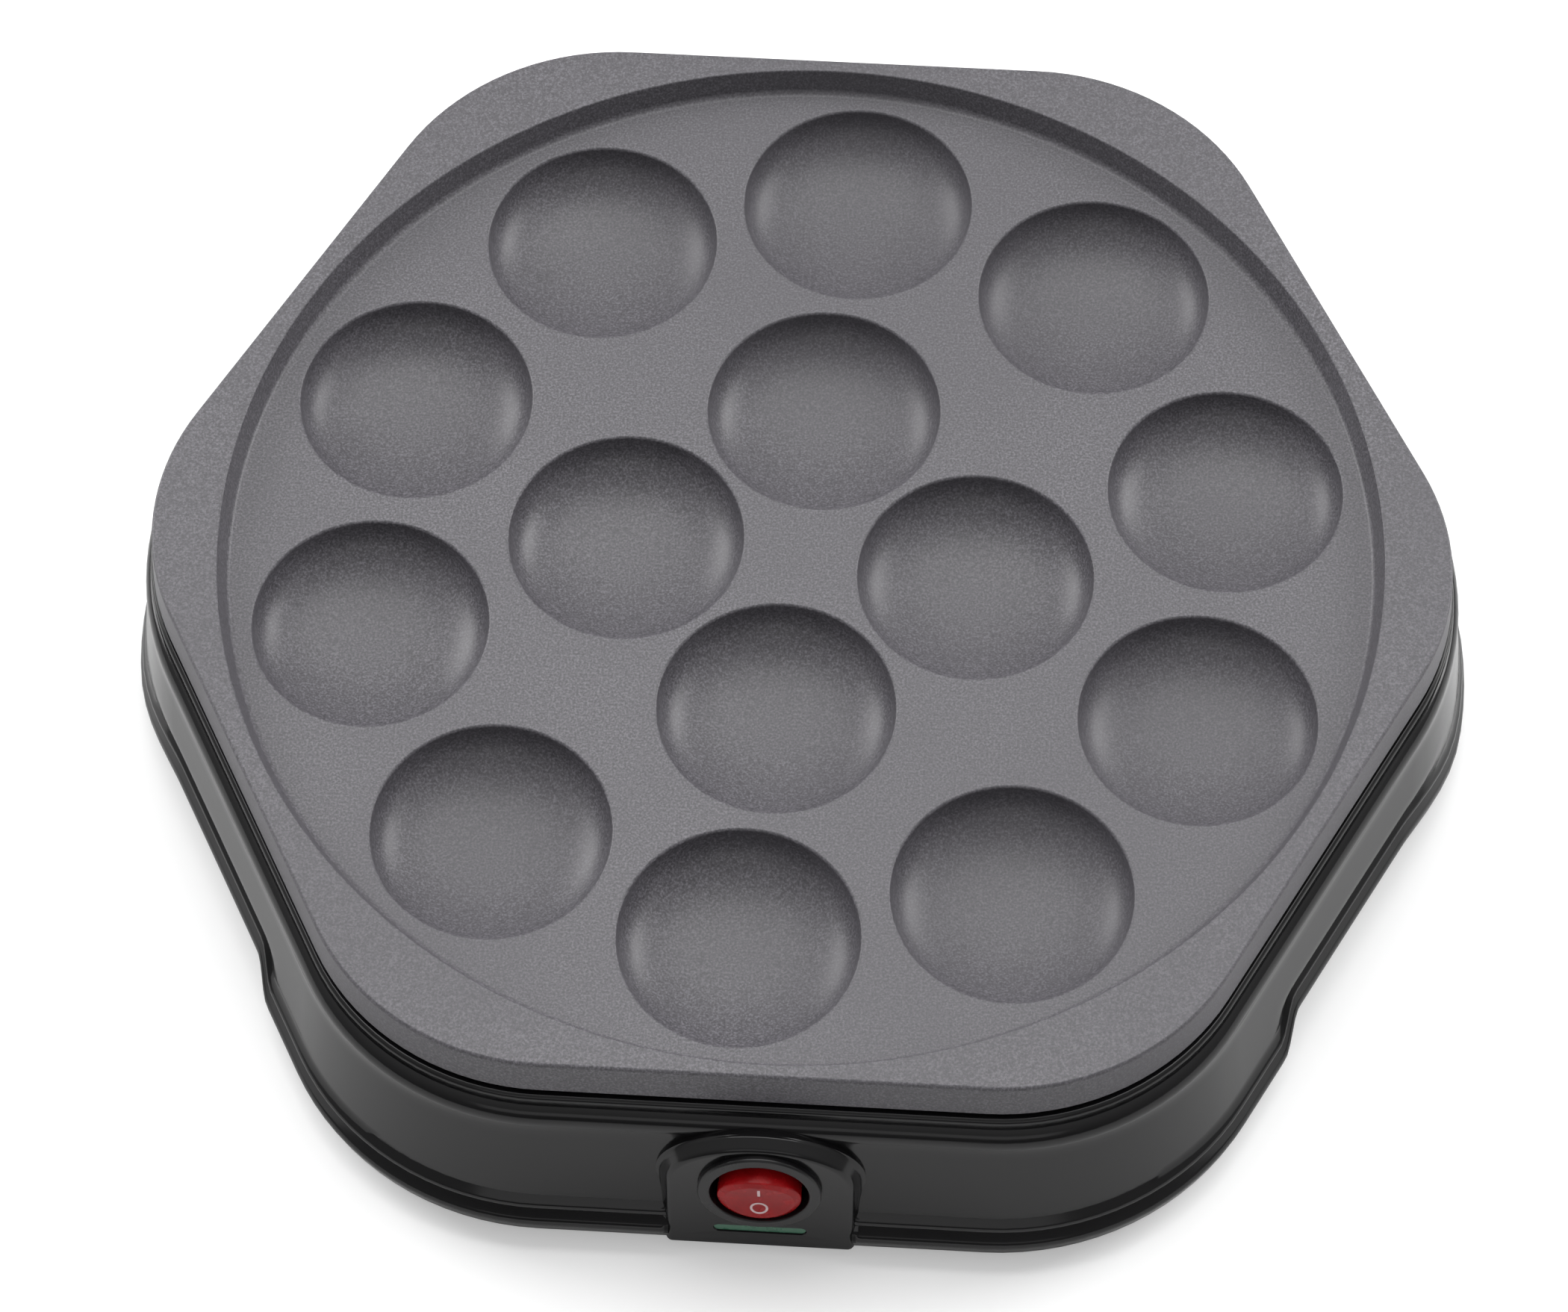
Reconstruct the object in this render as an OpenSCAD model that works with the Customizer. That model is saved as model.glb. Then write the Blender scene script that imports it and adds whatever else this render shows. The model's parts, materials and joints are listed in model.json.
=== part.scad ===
// Small electric pancake maker: a six-sided black housing with a cast cooking plate of round cups,
// a rocker switch and an indicator at the front, and the heating and wiring parts inside.
// Frame: +Z up, -Y towards the user, origin on the table under the middle of the body.

/* [Cooking plate] */
// Height from the table to the rim of the plate
total_h = 48; // [44:0.5:60]
// Plate width from the front side to the back side
plate_deep = 223; // [221:0.5:240]
// Plate width across two opposite slanted sides
plate_side = 225.5; // [222:0.5:240]
// Turn of the slanted sides' outward direction from the X axis, in degrees
side_turn = 28; // [26:0.5:32]
// Corner radius of the plate
plate_corner = 47.5; // [40:0.5:55]
// Height of the plate's outer skirt
plate_skirt = 8; // [6:0.5:10]
// How far the skirt leans outwards at its foot
skirt_draft = 1; // [0.4:0.1:2]
// Thickness of the skirt
skirt_wall = 3; // [2:0.1:4]
// Thickness of the plate under the recess
deck = 3; // [2:0.1:4]
// Thickness of the rim outside the recess
rim_wall = 3; // [2:0.1:4]

/* [Recess and cups] */
// Narrowest width of the rim around the round recess
pan_rim = 2.5; // [2:0.1:3.5]
// Depth of the recess
pan_deep = 5; // [3:0.5:7]
// How far the recess wall runs inwards on its way down
pan_run = 1.5; // [0.5:0.1:3]
// Diameter of one cup at the recess floor
cup_d = 44; // [38:0.5:45]
// Depth of one cup
cup_deep = 10; // [7:0.5:11]
// Thickness of a cup's wall
cup_wall = 2.5; // [2:0.1:3]
// Number of cups in the outer ring
outer_n = 10; // [8:1:10]
// Least distance from an outer cup to the edge of the recess
cup_edge = 5.7; // [5.2:0.1:7]
// Turn of the outer ring, in degrees
outer_turn = 13.6; // [0:0.1:36]
// Number of cups in the inner ring
inner_n = 4; // [3:1:4]
// Least distance between two inner cups
inner_web = 2.67; // [2.2:0.01:3.4]
// Turn of the inner ring, in degrees
inner_turn = -4.3; // [-45:0.1:45]

/* [Housing] */
// Wall of the housing
wall = 2.6; // [2:0.1:3.5]
// Dark gap between the plate's skirt and the housing
lip_gap = 1; // [0.5:0.1:2]
// How far the foot of the housing stands outside the plate at the front and back
flare_front = 12; // [10:0.5:15]
// How far it stands outside the plate at the slanted sides
flare_side = 9.2; // [8:0.2:12]
// Corner radius gained towards the foot at the front and back corners
open_front = 5.4; // [3:0.2:8]
// Corner radius gained towards the foot at the left and right corners
open_side = 34; // [20:1:38]
// Thickness of the ledge that carries the plate
ledge = 2.4; // [2:0.1:3]
// How far the ledge reaches in under the rim of the recess
ledge_in = 2; // [1:0.1:2.5]
// Radius of the thin lip at the top of the housing
lip_r = 1; // [0.6:0.1:1.4]
// Radius of the rounded shoulder below the lip
shoulder_r = 3.2; // [2.5:0.1:4]
// Radius of the upper bead near the foot
bead_r = 1.2; // [0.8:0.1:1.5]
// Radius of the lower bead at the foot
foot_bead_r = 1.8; // [1.4:0.1:2.2]

/* [Finger grips] */
// Length of a finger grip along a slanted side
grip_w = 40; // [30:1:44]
// Length of the ramp at the notch end of a grip
grip_ramp = 8; // [6:0.5:10]
// Length of the long ramp towards the nearest side corner
grip_fade = 30; // [20:1:30]
// How far the foot of the housing rises over a grip
grip_rise = 6; // [5:0.5:7]
// How far the foot of the housing stands back over a grip
grip_in = 2; // [1:0.2:2.6]
// Depth of the pocket behind a grip
grip_deep = 12; // [9:0.5:14]
// Wall of the pocket
grip_wall = 2; // [1.5:0.1:2.4]

/* [Switch panel] */
// Width of the raised panel
panel_w = 37; // [34:0.5:42]
// Height of the panel above the table
panel_top = 37; // [35.5:0.1:38]
// Height above the table at which the panel's arch begins
panel_shoulder = 24; // [22:0.5:26]
// How far the panel leans back, in degrees
panel_lean = 6.5; // [4:0.5:9]
// Thickness of the panel
panel_t = 2.5; // [2:0.1:3]
// Height of the switch centre above the table
switch_z = 23; // [22.5:0.1:23.5]
// Diameter of the switch's round bezel
bezel_d = 22.4; // [21.5:0.1:23]
// How far the bezel stands out of the panel
bezel_t = 1.4; // [1:0.1:1.8]
// Diameter of the switch's barrel
barrel_d = 19.6; // [19:0.1:20]
// Length of the barrel behind the panel
barrel_l = 14; // [13:0.5:16]
// Diameter of the opening that the rocker sits in
mouth_d = 17.5; // [17.3:0.1:17.8]
// Diameter of the rocker
rocker_d = 15.2; // [14.6:0.1:15.3]
// How far the middle of the rocker stands out of the panel
rocker_out = 2.4; // [1:0.1:3]
// Depth of the rocker's pivot behind the panel's face
pivot_in = 4.4; // [4:0.1:5]
// Diameter of the rocker's pivot pins
pivot_d = 2.4; // [2:0.1:2.8]
// Tilt of the rocker to each side of its middle, in degrees
rocker_tilt = 8; // [6:0.5:9]
// Distance from the switch centre down to the indicator
lens_drop = 13.9; // [13.6:0.1:14.2]
// Length of the indicator window
lens_w = 17; // [14:0.5:19]
// Height of the indicator window
lens_h = 2.3; // [2:0.1:2.6]

/* [Heating] */
// Diameter of the tubular heating element
tube_d = 6.6; // [6:0.1:7]
// Distance from the outer ring of cups in to the heating element's ring
tube_in = 24.3; // [23.5:0.1:25]
// Open angle of the element's ring at the back, in degrees
tube_gap = 36; // [32:1:42]
// Radius of the bends at the element's ends
tube_bend = 8; // [7:0.5:9]
// Length across the tube of the cast saddles that seat the element
saddle_w = 12; // [10:0.5:14]
// Distance from the underside of the plate down to the middle of the element
tube_drop = 10; // [9:0.5:10.5]
// Distance from the edge of the recess in to the heat shield
shield_in = 13; // [12:0.1:14]
// Height of the heat shield's underside above the table
shield_z = 20; // [19.5:0.1:20.5]
// Thickness of the heat shield
shield_t = 1; // [0.6:0.1:1.2]
// Height of the heat shield's upright edge
shield_edge = 8; // [5:0.5:9]
// Diameter of the thermostat's body
stat_d = 12; // [11:0.5:13]
// Diameter of the thermostat's sensing cap
stat_cap_d = 15.5; // [15:0.1:16]

/* [Base] */
// Height of the rubber feet below the housing
foot_h = 4; // [3:0.5:5]
// Thickness of the base plate
base_t = 2.5; // [2:0.1:3]
// How far the edge of the base plate stays inside the foot of the housing
base_gap = 1.6; // [1.5:0.1:2.5]
// Distance of the feet from the middle, left and right
foot_x = 62; // [58:1:66]
// Distance of the feet from the middle, front and back
foot_y = 76; // [72:1:80]
// Diameter of a foot
foot_d = 16; // [12:0.5:18]
// Height of the cable inlet above the table
inlet_z = 20.5; // [20:0.1:21]
// Bore of the cable inlet
inlet_d = 7.2; // [6.8:0.1:7.6]

/* [Fasteners and fits] */
// Clearance between fitted pieces
fit = 0.3; // [0.2:0.05:0.4]
// Radial clearance of a shaft in its bore
running = 0.05; // [0.02:0.01:0.1]
// Diameter of the larger screws
screw_d = 4; // [3.5:0.1:4.2]
// Diameter of the smaller screws
small_screw_d = 3; // [2.6:0.1:3.2]
// Diameter of the insulated wires
wire_d = 2.2; // [1.8:0.1:2.4]

/* [Hidden] */
$fn = 48;

// heights above the table
skirt_z = total_h - plate_skirt;
floor_z = total_h - pan_deep;
deck_z = floor_z - deck;
lip_z = skirt_z - lip_gap;
tube_z = deck_z - tube_drop;
clamp_z = tube_z - tube_d / 2 - running;
base_top = foot_h + base_t;
shield_top = shield_z + shield_t;

// sizes that follow from the plate's
pan_d = plate_deep - 2 * pan_rim;
outer_r = pan_d / 2 - cup_edge - cup_d / 2;
inner_r = (cup_d + inner_web) / (2 * sin(180 / inner_n));
ledge_r = pan_d / 2 - ledge_in;
tube_ring = outer_r - tube_in;
shield_r = pan_d / 2 - shield_in;

// outline of the body: outward direction and distance of each of the six sides
SIDES = [side_turn, 90, 180 - side_turn, 180 + side_turn, 270, 360 - side_turn];
GRIPS = [0, 2, 3, 5];
// which way along each of the six sides the notch end of its grip lies
NOTCH = [1, 0, -1, 1, 0, -1];
half_deep = plate_deep / 2;
half_side = plate_side / 2;
side_share = flare_side / flare_front;
arc_n = 10;
side_n = 12;
cup_n = 6;
function unit(a) = [cos(a), sin(a)];
function along(a) = [-sin(a), cos(a)];
function is_front(i) = (i == 1 || i == 4);
function reach(i, off) = is_front(i) ? half_deep + off : half_side + off * side_share;
function meet(a, da, b, db) = let (k = cos(a) * sin(b) - sin(a) * cos(b))
    [(da * sin(b) - db * sin(a)) / k, (db * cos(a) - da * cos(b)) / k];
function side_corner(i) = (i == 2 || i == 5);
function corner_r(i, off) = plate_corner
    + max(off, 0) / flare_front * (side_corner(i) ? open_side : open_front) + min(off, 0);
function centre(i, off) = let (j = (i + 1) % 6, r = corner_r(i, off))
    meet(SIDES[i], reach(i, off) - r, SIDES[j], reach(j, off) - r);
function turn_of(i) = (SIDES[(i + 1) % 6] - SIDES[i] + 360) % 360;
function corner_arc(i, off) = [for (k = [0:arc_n])
    centre(i, off) + corner_r(i, off) * unit(SIDES[i] + turn_of(i) * k / arc_n)];
function straight(i, off, m) = let (j = (i + 1) % 6,
    a = centre(i, off) + corner_r(i, off) * unit(SIDES[j]),
    b = centre(j, off) + corner_r(j, off) * unit(SIDES[j]))
    m < 2 ? [] : [for (k = [1:m - 1]) a + (b - a) * k / m];
// the outline at a distance off outside the plate's own outline, its straight sides in m steps
function outline(off, m = 1) = [for (i = [0:5]) each concat(corner_arc(i, off), straight(i, off, m))];
LOOP = len(outline(0, side_n));

// 1 over a finger grip, 0 away from it, with a smooth ramp between
function smooth(u) = let (c = min(max(u, 0), 1)) c * c * (3 - 2 * c);
function over_grip(p) = max([for (i = GRIPS) let (a = NOTCH[i] * (p * along(SIDES[i])))
    p * unit(SIDES[i]) > half_side * 0.9 ? min(smooth((grip_w / 2 + grip_ramp - a) / grip_ramp),
        smooth((grip_w / 2 + grip_fade + a) / grip_fade)) : 0]);
// how much of a grip's rise a height takes part in: all of it at the foot, none from mid wall up
grip_fade_z = foot_h + 7;
grip_end_z = foot_h + 18;
function grip_share(z) = smooth((grip_end_z - z) / (grip_end_z - grip_fade_z));
function ring3(off, z) = [for (p = outline(off, side_n)) let (g = over_grip(p) * grip_share(z),
    q = p - grip_in * g * p / norm(p)) [q.x, q.y, z + grip_rise * g]];

// a closed solid from a stack of outlines, each given as [offset, height]; closed like a ring
module ring_solid(profile) {
    n = len(profile);
    pts = [for (r = profile) each ring3(r[0], r[1])];
    faces = [for (i = [0:n - 1]) for (k = [0:LOOP - 1]) let (j = (k + 1) % LOOP, m = (i + 1) % n)
        each [[i * LOOP + k, i * LOOP + j, m * LOOP + j], [i * LOOP + k, m * LOOP + j, m * LOOP + k]]];
    polyhedron(pts, faces);
}
// the same, but a solid block with flat ends
module block_solid(profile) {
    n = len(profile);
    loop = len(outline(0));
    pts = concat([for (r = profile) each [for (p = outline(r[0])) [p.x, p.y, r[1]]]],
        [[0, 0, profile[0][1]], [0, 0, profile[n - 1][1]]]);
    faces = [for (i = [0:n - 2]) for (k = [0:loop - 1]) let (j = (k + 1) % loop)
        each [[i * loop + k, (i + 1) * loop + j, i * loop + j],
            [i * loop + k, (i + 1) * loop + k, (i + 1) * loop + j]]];
    ends = [for (k = [0:loop - 1]) let (j = (k + 1) % loop)
        each [[n * loop, k, j], [n * loop + 1, (n - 1) * loop + j, (n - 1) * loop + k]]];
    polyhedron(pts, concat(faces, ends));
}
module disc(r, z0, z1) {
    translate([0, 0, z0]) cylinder(r = r, h = z1 - z0, $fn = 96);
}
function arc2(cx, cz, r, a0, a1, n) = [for (k = [0:n]) let (a = a0 + (a1 - a0) * k / n)
    [cx + r * cos(a), cz + r * sin(a)]];

// places of what repeats
OUTER = [for (k = [0:outer_n - 1]) outer_r * unit(outer_turn + 360 / outer_n * k)];
INNER = [for (k = [0:inner_n - 1]) inner_r * unit(inner_turn + 360 / inner_n * k)];
function between(k) = outer_turn + 360 / outer_n * (k + 0.5);
CORNER_TURNS = [for (i = [0:5]) atan2(centre(i, 0).y, centre(i, 0).x)];
boss_d = 8;
corner_boss_r = pan_d / 2 + 5.5;
PLATE_BOSSES = [for (a = CORNER_TURNS) corner_boss_r * unit(a)];
shield_boss_r = shield_r - 6;
SHIELD_BOSSES = [for (k = [0:2:outer_n - 1]) shield_boss_r * unit(between(k))];
clamp_boss_r = tube_ring + 10;
CLAMP_TURNS = [between(0), between(3), between(5), between(8)];
earth_turn = between(1);
stat_boss_r = 12;
stat_boss_d = 7;
stat_turn = inner_turn + 180 / inner_n;
POSTS = [for (a = [72, 108, 188, 252, 288, 352]) (ledge_r - 3) * unit(a)];
FEET = [for (sx = [-1, 1]) for (sy = [-1, 1]) [sx * foot_x, sy * foot_y]];
post_top = shield_z + 5;
stat_z = deck_z - tube_drop - 1;
stat_cap_h = 3;
bracket_t = 1.2;
bracket_top = stat_z - stat_cap_h;

// ---- cooking plate ----
// half of a cup's round section: top is where it is closed off above
module cup_profile(r, d, top) {
    polygon(concat([[0, top], [0, -d]],
        [for (k = [cup_n:-1:1]) let (a = 90 * k / cup_n)
            [r * pow(cos(a), 0.8), -d * pow(sin(a), 0.8)]], [[r, min(top, 0)], [r, top]]));
}
// the underside of a cup, plainer than its hollow: r, d and t are the hollow's radius and depth and its wall
module shell_profile(r, d, t, top) {
    polygon([[0, top], [0, -d - t], [r * 0.6, -d - t], [r - 1, -d * 0.85], [r + t, -d * 0.4], [r + t, top]]);
}
module blind_bore(p, d, z0, z1) {
    translate([p.x, p.y, z0 - 1]) cylinder(d = d, h = z1 - z0 + 1, $fn = 24);
}
module boss(p, d, z0, z1) {
    translate([p.x, p.y, z0]) cylinder(d = d, h = z1 - z0, $fn = 32);
}
pan_edge_r = pan_d / 2 + rim_wall;
tap = 0.35;
// the cast block with its round recess, hollow under the rim at the corners
module plate_block() {
    difference() {
        block_solid([[skirt_draft, skirt_z], [0.1, total_h - 0.8], [-0.2, total_h - 0.25],
            [-0.7, total_h]]);
        translate([0, 0, floor_z]) rotate_extrude($fn = 128) polygon(concat([[0, 0]],
            arc2(pan_d / 2 - pan_run - 1.5, 1.5, 1.5, -90, -30, 4),
            [[pan_d / 2 - 0.4, pan_deep - 0.5], [pan_d / 2, pan_deep], [pan_d / 2, pan_deep + 1],
                [0, pan_deep + 1]]));
        difference() {
            translate([0, 0, skirt_z - 1])
                linear_extrude(total_h - rim_wall - skirt_z + 1) polygon(outline(-skirt_wall));
            disc(pan_edge_r, skirt_z - 2, total_h);
        }
    }
}
// the block with the walls of the cups and the rib for the element, then the cups hollowed out
module plate_casting() {
    difference() {
        union() {
            plate_block();
            for (c = concat(OUTER, INNER)) translate([c.x, c.y, floor_z])
                rotate_extrude($fn = 48) shell_profile(cup_d / 2, cup_deep, cup_wall, -deck / 2);
        }
        for (c = concat(OUTER, INNER)) translate([c.x, c.y, floor_z])
            rotate_extrude($fn = 64) cup_profile(cup_d / 2, cup_deep, 2);
    }
}
// cast saddles with a half-round groove that seat the element between the cups
module element_saddles() {
    difference() {
        for (a = CLAMP_TURNS) rotate([0, 0, a]) translate([tube_ring - saddle_w / 2, -saddle_w * 0.375, tube_z])
            cube([clamp_boss_r - tube_ring + saddle_w / 2, saddle_w * 0.75, deck_z + 1 - tube_z]);
        rotate_extrude($fn = 96) translate([tube_ring, tube_z]) circle(r = tube_d / 2 + running, $fn = 32);
    }
}
module cooking_plate() {
    color([0.30, 0.30, 0.32]) difference() {
        union() {
            plate_casting();
            element_saddles();
            for (p = PLATE_BOSSES) boss(p, boss_d, lip_z, total_h - 1);
            for (p = SHIELD_BOSSES) boss(p, boss_d, shield_top, deck_z + 1);
            for (a = concat(CLAMP_TURNS, [earth_turn]))
                boss(clamp_boss_r * unit(a), boss_d, clamp_z, deck_z + 1);
            for (s = [-1, 1]) boss(s * stat_boss_r * unit(stat_turn), stat_boss_d, bracket_top, deck_z + 1);
            boss([0, 0], stat_cap_d - 0.5, stat_z, deck_z + 1);
        }
        for (p = PLATE_BOSSES) blind_bore(p, screw_d - 2 * tap, lip_z, total_h - 2.5);
        for (p = SHIELD_BOSSES) blind_bore(p, screw_d - 2 * tap, shield_top, deck_z - 4);
        for (a = concat(CLAMP_TURNS, [earth_turn]))
            blind_bore(clamp_boss_r * unit(a), small_screw_d - 2 * tap, clamp_z, clamp_z + 8);
        for (s = [-1, 1])
            blind_bore(s * stat_boss_r * unit(stat_turn), small_screw_d - 2 * tap, bracket_top, bracket_top + 8);
    }
}

// ---- housing ----
wall_top_z = lip_z - 7.5;
wall_top_off = 4.9;
bead_z = foot_h + 7.4;
bead_off = flare_front - bead_r - 1.5;
foot_bead_z = foot_h + 3.4;
OUTER_WALL = concat(
    arc2(lip_r + 0.2, lip_z - lip_r, lip_r, 90, 0, 3),
    [[lip_r * 2 + 0.1, lip_z - 1.9]],
    arc2(lip_r + 0.6, lip_z - 2.2 - shoulder_r, shoulder_r, 78, -14, 6),
    [[wall_top_off, wall_top_z], [bead_off - 0.5, bead_z + 2]],
    arc2(bead_off, bead_z, bead_r, 65, -60, 5),
    arc2(flare_front - foot_bead_r, foot_bead_z, foot_bead_r, 60, -35, 5),
    [[flare_front - 0.9, foot_h]]);
INNER_WALL = [[flare_front - wall, foot_h], [bead_off - wall + 0.6, bead_z + 2],
    [wall_top_off - wall, wall_top_z], [lip_r + 0.2 - wall, lip_z - 3], [lip_r + 0.2 - wall, lip_z]];
// how far out the straight part of the wall stands at a height, and where a post's rib ends in it
function wall_off(z) = wall_top_off + (bead_off - 0.5 - wall_top_off) * (wall_top_z - z) / (wall_top_z - bead_z - 2);
rib_end_off = wall_off(post_top) - wall / 2;
// the raised panel in its own plane: x to the right, y up, z outwards, zero at the switch centre
panel_foot_y = -(half_deep + flare_front);
switch_y = panel_foot_y + (switch_z - foot_h) * tan(panel_lean);
module at_switch() {
    translate([0, switch_y, switch_z]) rotate([90 - panel_lean, 0, 0]) children();
}
module tombstone(grow) {
    w = panel_w / 2 + grow;
    low = foot_h - switch_z + min(grow, 0);
    mid = panel_shoulder - switch_z;
    high = panel_top - switch_z + grow;
    polygon(concat([[-w, low], [w, low]],
        [for (k = [0:16]) let (a = 180 * k / 16) [w * cos(a), mid + (high - mid) * sin(a)]]));
}
lens_flange_w = lens_w + 4;
lens_flange_low = 0.8;
lens_flange_up = 1.8;
module slot(w, h, z0, z1) {
    translate([0, -lens_drop, z0]) hull() for (s = [-1, 1])
        translate([s * (w - h) / 2, 0, 0]) cylinder(d = h, h = z1 - z0, $fn = 32);
}
pad_d = 16;
pad_l = 8;
inlet_hole_d = 11;
inlet_pad_y = half_deep + flare_front - 2;
module housing() {
    color([0.05, 0.05, 0.055]) difference() {
        union() {
            ring_solid(concat(OUTER_WALL, INNER_WALL));
            translate([0, 0, lip_z - ledge]) linear_extrude(ledge) polygon(outline(0));
            difference() {
                intersection() {
                    at_switch() translate([0, 0, -14]) linear_extrude(14) tombstone(0);
                    translate([-panel_w, panel_foot_y, foot_h]) cube([2 * panel_w, 14, panel_top]);
                }
                at_switch() translate([0, 0, -24]) linear_extrude(24 - panel_t) tombstone(-panel_t);
                translate([-panel_w, panel_foot_y + panel_t + fit, foot_h - 1])
                    cube([2 * panel_w, 20, base_t + 1 + fit]);
            }
            for (p = POSTS) {
                boss(p, boss_d, base_top, post_top);
                intersection() {
                    rotate([0, 0, atan2(p.y, p.x)]) translate([norm(p), -1.25, pocket_top + 1])
                        cube([half_side, 2.5, post_top - pocket_top - 3]);
                    translate([0, 0, base_top]) linear_extrude(post_top) polygon(outline(rib_end_off));
                }
            }
            translate([0, inlet_pad_y, inlet_z]) rotate([90, 0, 0]) cylinder(d = pad_d, h = pad_l);
        }
        disc(ledge_r, lip_z - ledge - 1, lip_z + 1);
        at_switch() translate([0, 0, -24]) linear_extrude(24 - panel_t) tombstone(-panel_t);
        at_switch() translate([0, 0, -5]) cylinder(d = barrel_d + 2 * fit, h = 8);
        at_switch() slot(lens_w, lens_h, -5, 2);
        for (p = PLATE_BOSSES) blind_bore(p, screw_d + 2 * fit, lip_z - ledge, lip_z + 1);
        for (p = POSTS) blind_bore(p, screw_d - 2 * tap, base_top, post_top - 4);
        translate([0, inlet_pad_y + 1, inlet_z]) rotate([90, 0, 0]) cylinder(d = inlet_hole_d, h = 16);
    }
}

// ---- base plate with the four finger pockets ----
base_off = flare_front - wall - base_gap;
pocket_in = half_side + (flare_front - wall) * side_share - grip_deep;
pocket_l = grip_w + 4;
// how much further the pocket runs behind the long ramp
pocket_more = grip_fade - 4;
pocket_top = foot_h + grip_rise + grip_wall;
module at_grip(i) {
    rotate([0, 0, SIDES[i]]) mirror([0, NOTCH[i] < 0 ? 1 : 0, 0]) children();
}
FOOT_STEM = foot_d * 0.4;
clamp_post_x = 11;
clamp_y = 101;
clamp_seat = 13;
block_y = 84;
block_size = [27, 14, 11];
module base_plate() {
    color([0.09, 0.09, 0.095]) difference() {
        union() {
            translate([0, 0, foot_h]) linear_extrude(base_t) polygon(outline(base_off));
            for (i = GRIPS) intersection() {
                at_grip(i) translate([pocket_in - grip_wall, -pocket_l / 2 - pocket_more - grip_wall, foot_h])
                    cube([grip_deep, pocket_l + pocket_more + 2 * grip_wall, pocket_top - foot_h]);
                translate([0, 0, foot_h]) linear_extrude(grip_rise + grip_wall + 1)
                    polygon(outline(base_off - 5));
            }
            for (s = [-1, 1]) boss([s * clamp_post_x, clamp_y], 7, base_top - 1, clamp_seat);
            for (s = [-1, 1]) translate([s * (block_size.x / 2 + running + 1) - 1, block_y - 5, base_top - 1])
                cube([2, 10, 7]);
        }
        for (i = GRIPS) at_grip(i) translate([pocket_in, -pocket_l / 2 - pocket_more, foot_h - 1])
            cube([grip_deep + 10, pocket_l + pocket_more, grip_rise + 1]);
        for (p = POSTS) blind_bore(p, screw_d + 2 * fit, foot_h, base_top + 1);
        for (p = FEET) blind_bore(p, FOOT_STEM, foot_h, base_top + 1);
        for (s = [-1, 1]) blind_bore([s * clamp_post_x, clamp_y], small_screw_d - 2 * tap, base_top + 2, clamp_seat + 1);
    }
}
module rubber_feet() {
    color([0.03, 0.03, 0.03]) for (p = FEET) translate([p.x, p.y, 0]) rotate_extrude($fn = 48)
        polygon([[0, 0], [foot_d / 2 - 1.2, 0], [foot_d / 2, foot_h - 0.6], [foot_d / 2, foot_h],
            [FOOT_STEM / 2 - running, foot_h], [FOOT_STEM / 2 - running, base_top],
            [FOOT_STEM / 2 + 0.8, base_top], [FOOT_STEM / 2 - 0.6, base_top + 2], [0, base_top + 2]]);
}

// ---- fasteners ----
// a pan-head screw with its shank along +Z and the underside of its head at the origin
module screw(d, len) {
    head_h = d * 0.55;
    difference() {
        union() {
            cylinder(d = d - 2 * tap - 2 * running, h = len, $fn = 24);
            translate([0, 0, -head_h]) cylinder(d1 = d * 1.3, d2 = d * 1.75, h = head_h, $fn = 32);
        }
        for (a = [0, 90]) rotate([0, 0, a]) translate([-d * 0.5, -d * 0.09, -head_h - 0.1])
            cube([d, d * 0.18, head_h * 0.6]);
    }
}
module base_screws() {
    color([0.6, 0.6, 0.62]) for (p = POSTS) translate([p.x, p.y, foot_h]) screw(screw_d, 12);
}
module plate_screws() {
    color([0.6, 0.6, 0.62]) for (p = PLATE_BOSSES) translate([p.x, p.y, lip_z - ledge])
        screw(screw_d, ledge + total_h - 3.5 - lip_z);
}
module shield_screws() {
    color([0.6, 0.6, 0.62]) for (p = SHIELD_BOSSES) translate([p.x, p.y, shield_z]) screw(screw_d, 10);
}
module clamp_screws() {
    color([0.6, 0.6, 0.62]) for (a = CLAMP_TURNS) let (p = clamp_boss_r * unit(a))
        translate([p.x, p.y, clamp_z - bracket_t]) screw(small_screw_d, 8);
}
module thermostat_screws() {
    color([0.6, 0.6, 0.62]) for (s = [-1, 1]) let (p = s * stat_boss_r * unit(stat_turn))
        translate([p.x, p.y, bracket_top - bracket_t]) screw(small_screw_d, 8);
}
module earth_screw() {
    p = clamp_boss_r * unit(earth_turn);
    color([0.75, 0.62, 0.3]) translate([p.x, p.y, clamp_z - tag_t]) screw(small_screw_d, 8);
}
module block_screws() {
    color([0.75, 0.62, 0.3]) for (x = BLOCK_WAYS)
        translate([x, block_y, base_top + block_size.z - 1.2]) rotate([180, 0, 0]) screw(small_screw_d, 3);
}
module cord_clamp_screws() {
    color([0.6, 0.6, 0.62]) for (s = [-1, 1]) translate([s * clamp_post_x, clamp_y, clamp_seat + 3])
        rotate([180, 0, 0]) screw(small_screw_d, clamp_seat + 3 - base_top - 1.5);
}

// ---- heating ----
pin_z = tube_z - tube_bend - 5;
bead_h = 3;
module end_frame(side) {
    mirror([side < 0 ? 1 : 0, 0, 0]) rotate([0, 0, 90 - tube_gap / 2]) translate([tube_ring, 0, 0]) children();
}
module heating_element() {
    color([0.45, 0.42, 0.4]) union() {
        rotate([0, 0, 90 + tube_gap / 2]) rotate_extrude(angle = 360 - tube_gap, $fn = 128)
            translate([tube_ring, tube_z]) circle(d = tube_d, $fn = 32);
        for (s = [-1, 1]) end_frame(s) {
            translate([0, 0, tube_z - tube_bend]) rotate([90, 0, 90])
                rotate_extrude(angle = 90, $fn = 48) translate([tube_bend, 0]) circle(d = tube_d, $fn = 32);
            translate([0, tube_bend, pin_z]) cylinder(d = tube_d, h = tube_z - tube_bend - pin_z, $fn = 32);
        }
    }
}
pin_d = 2.4;
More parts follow.
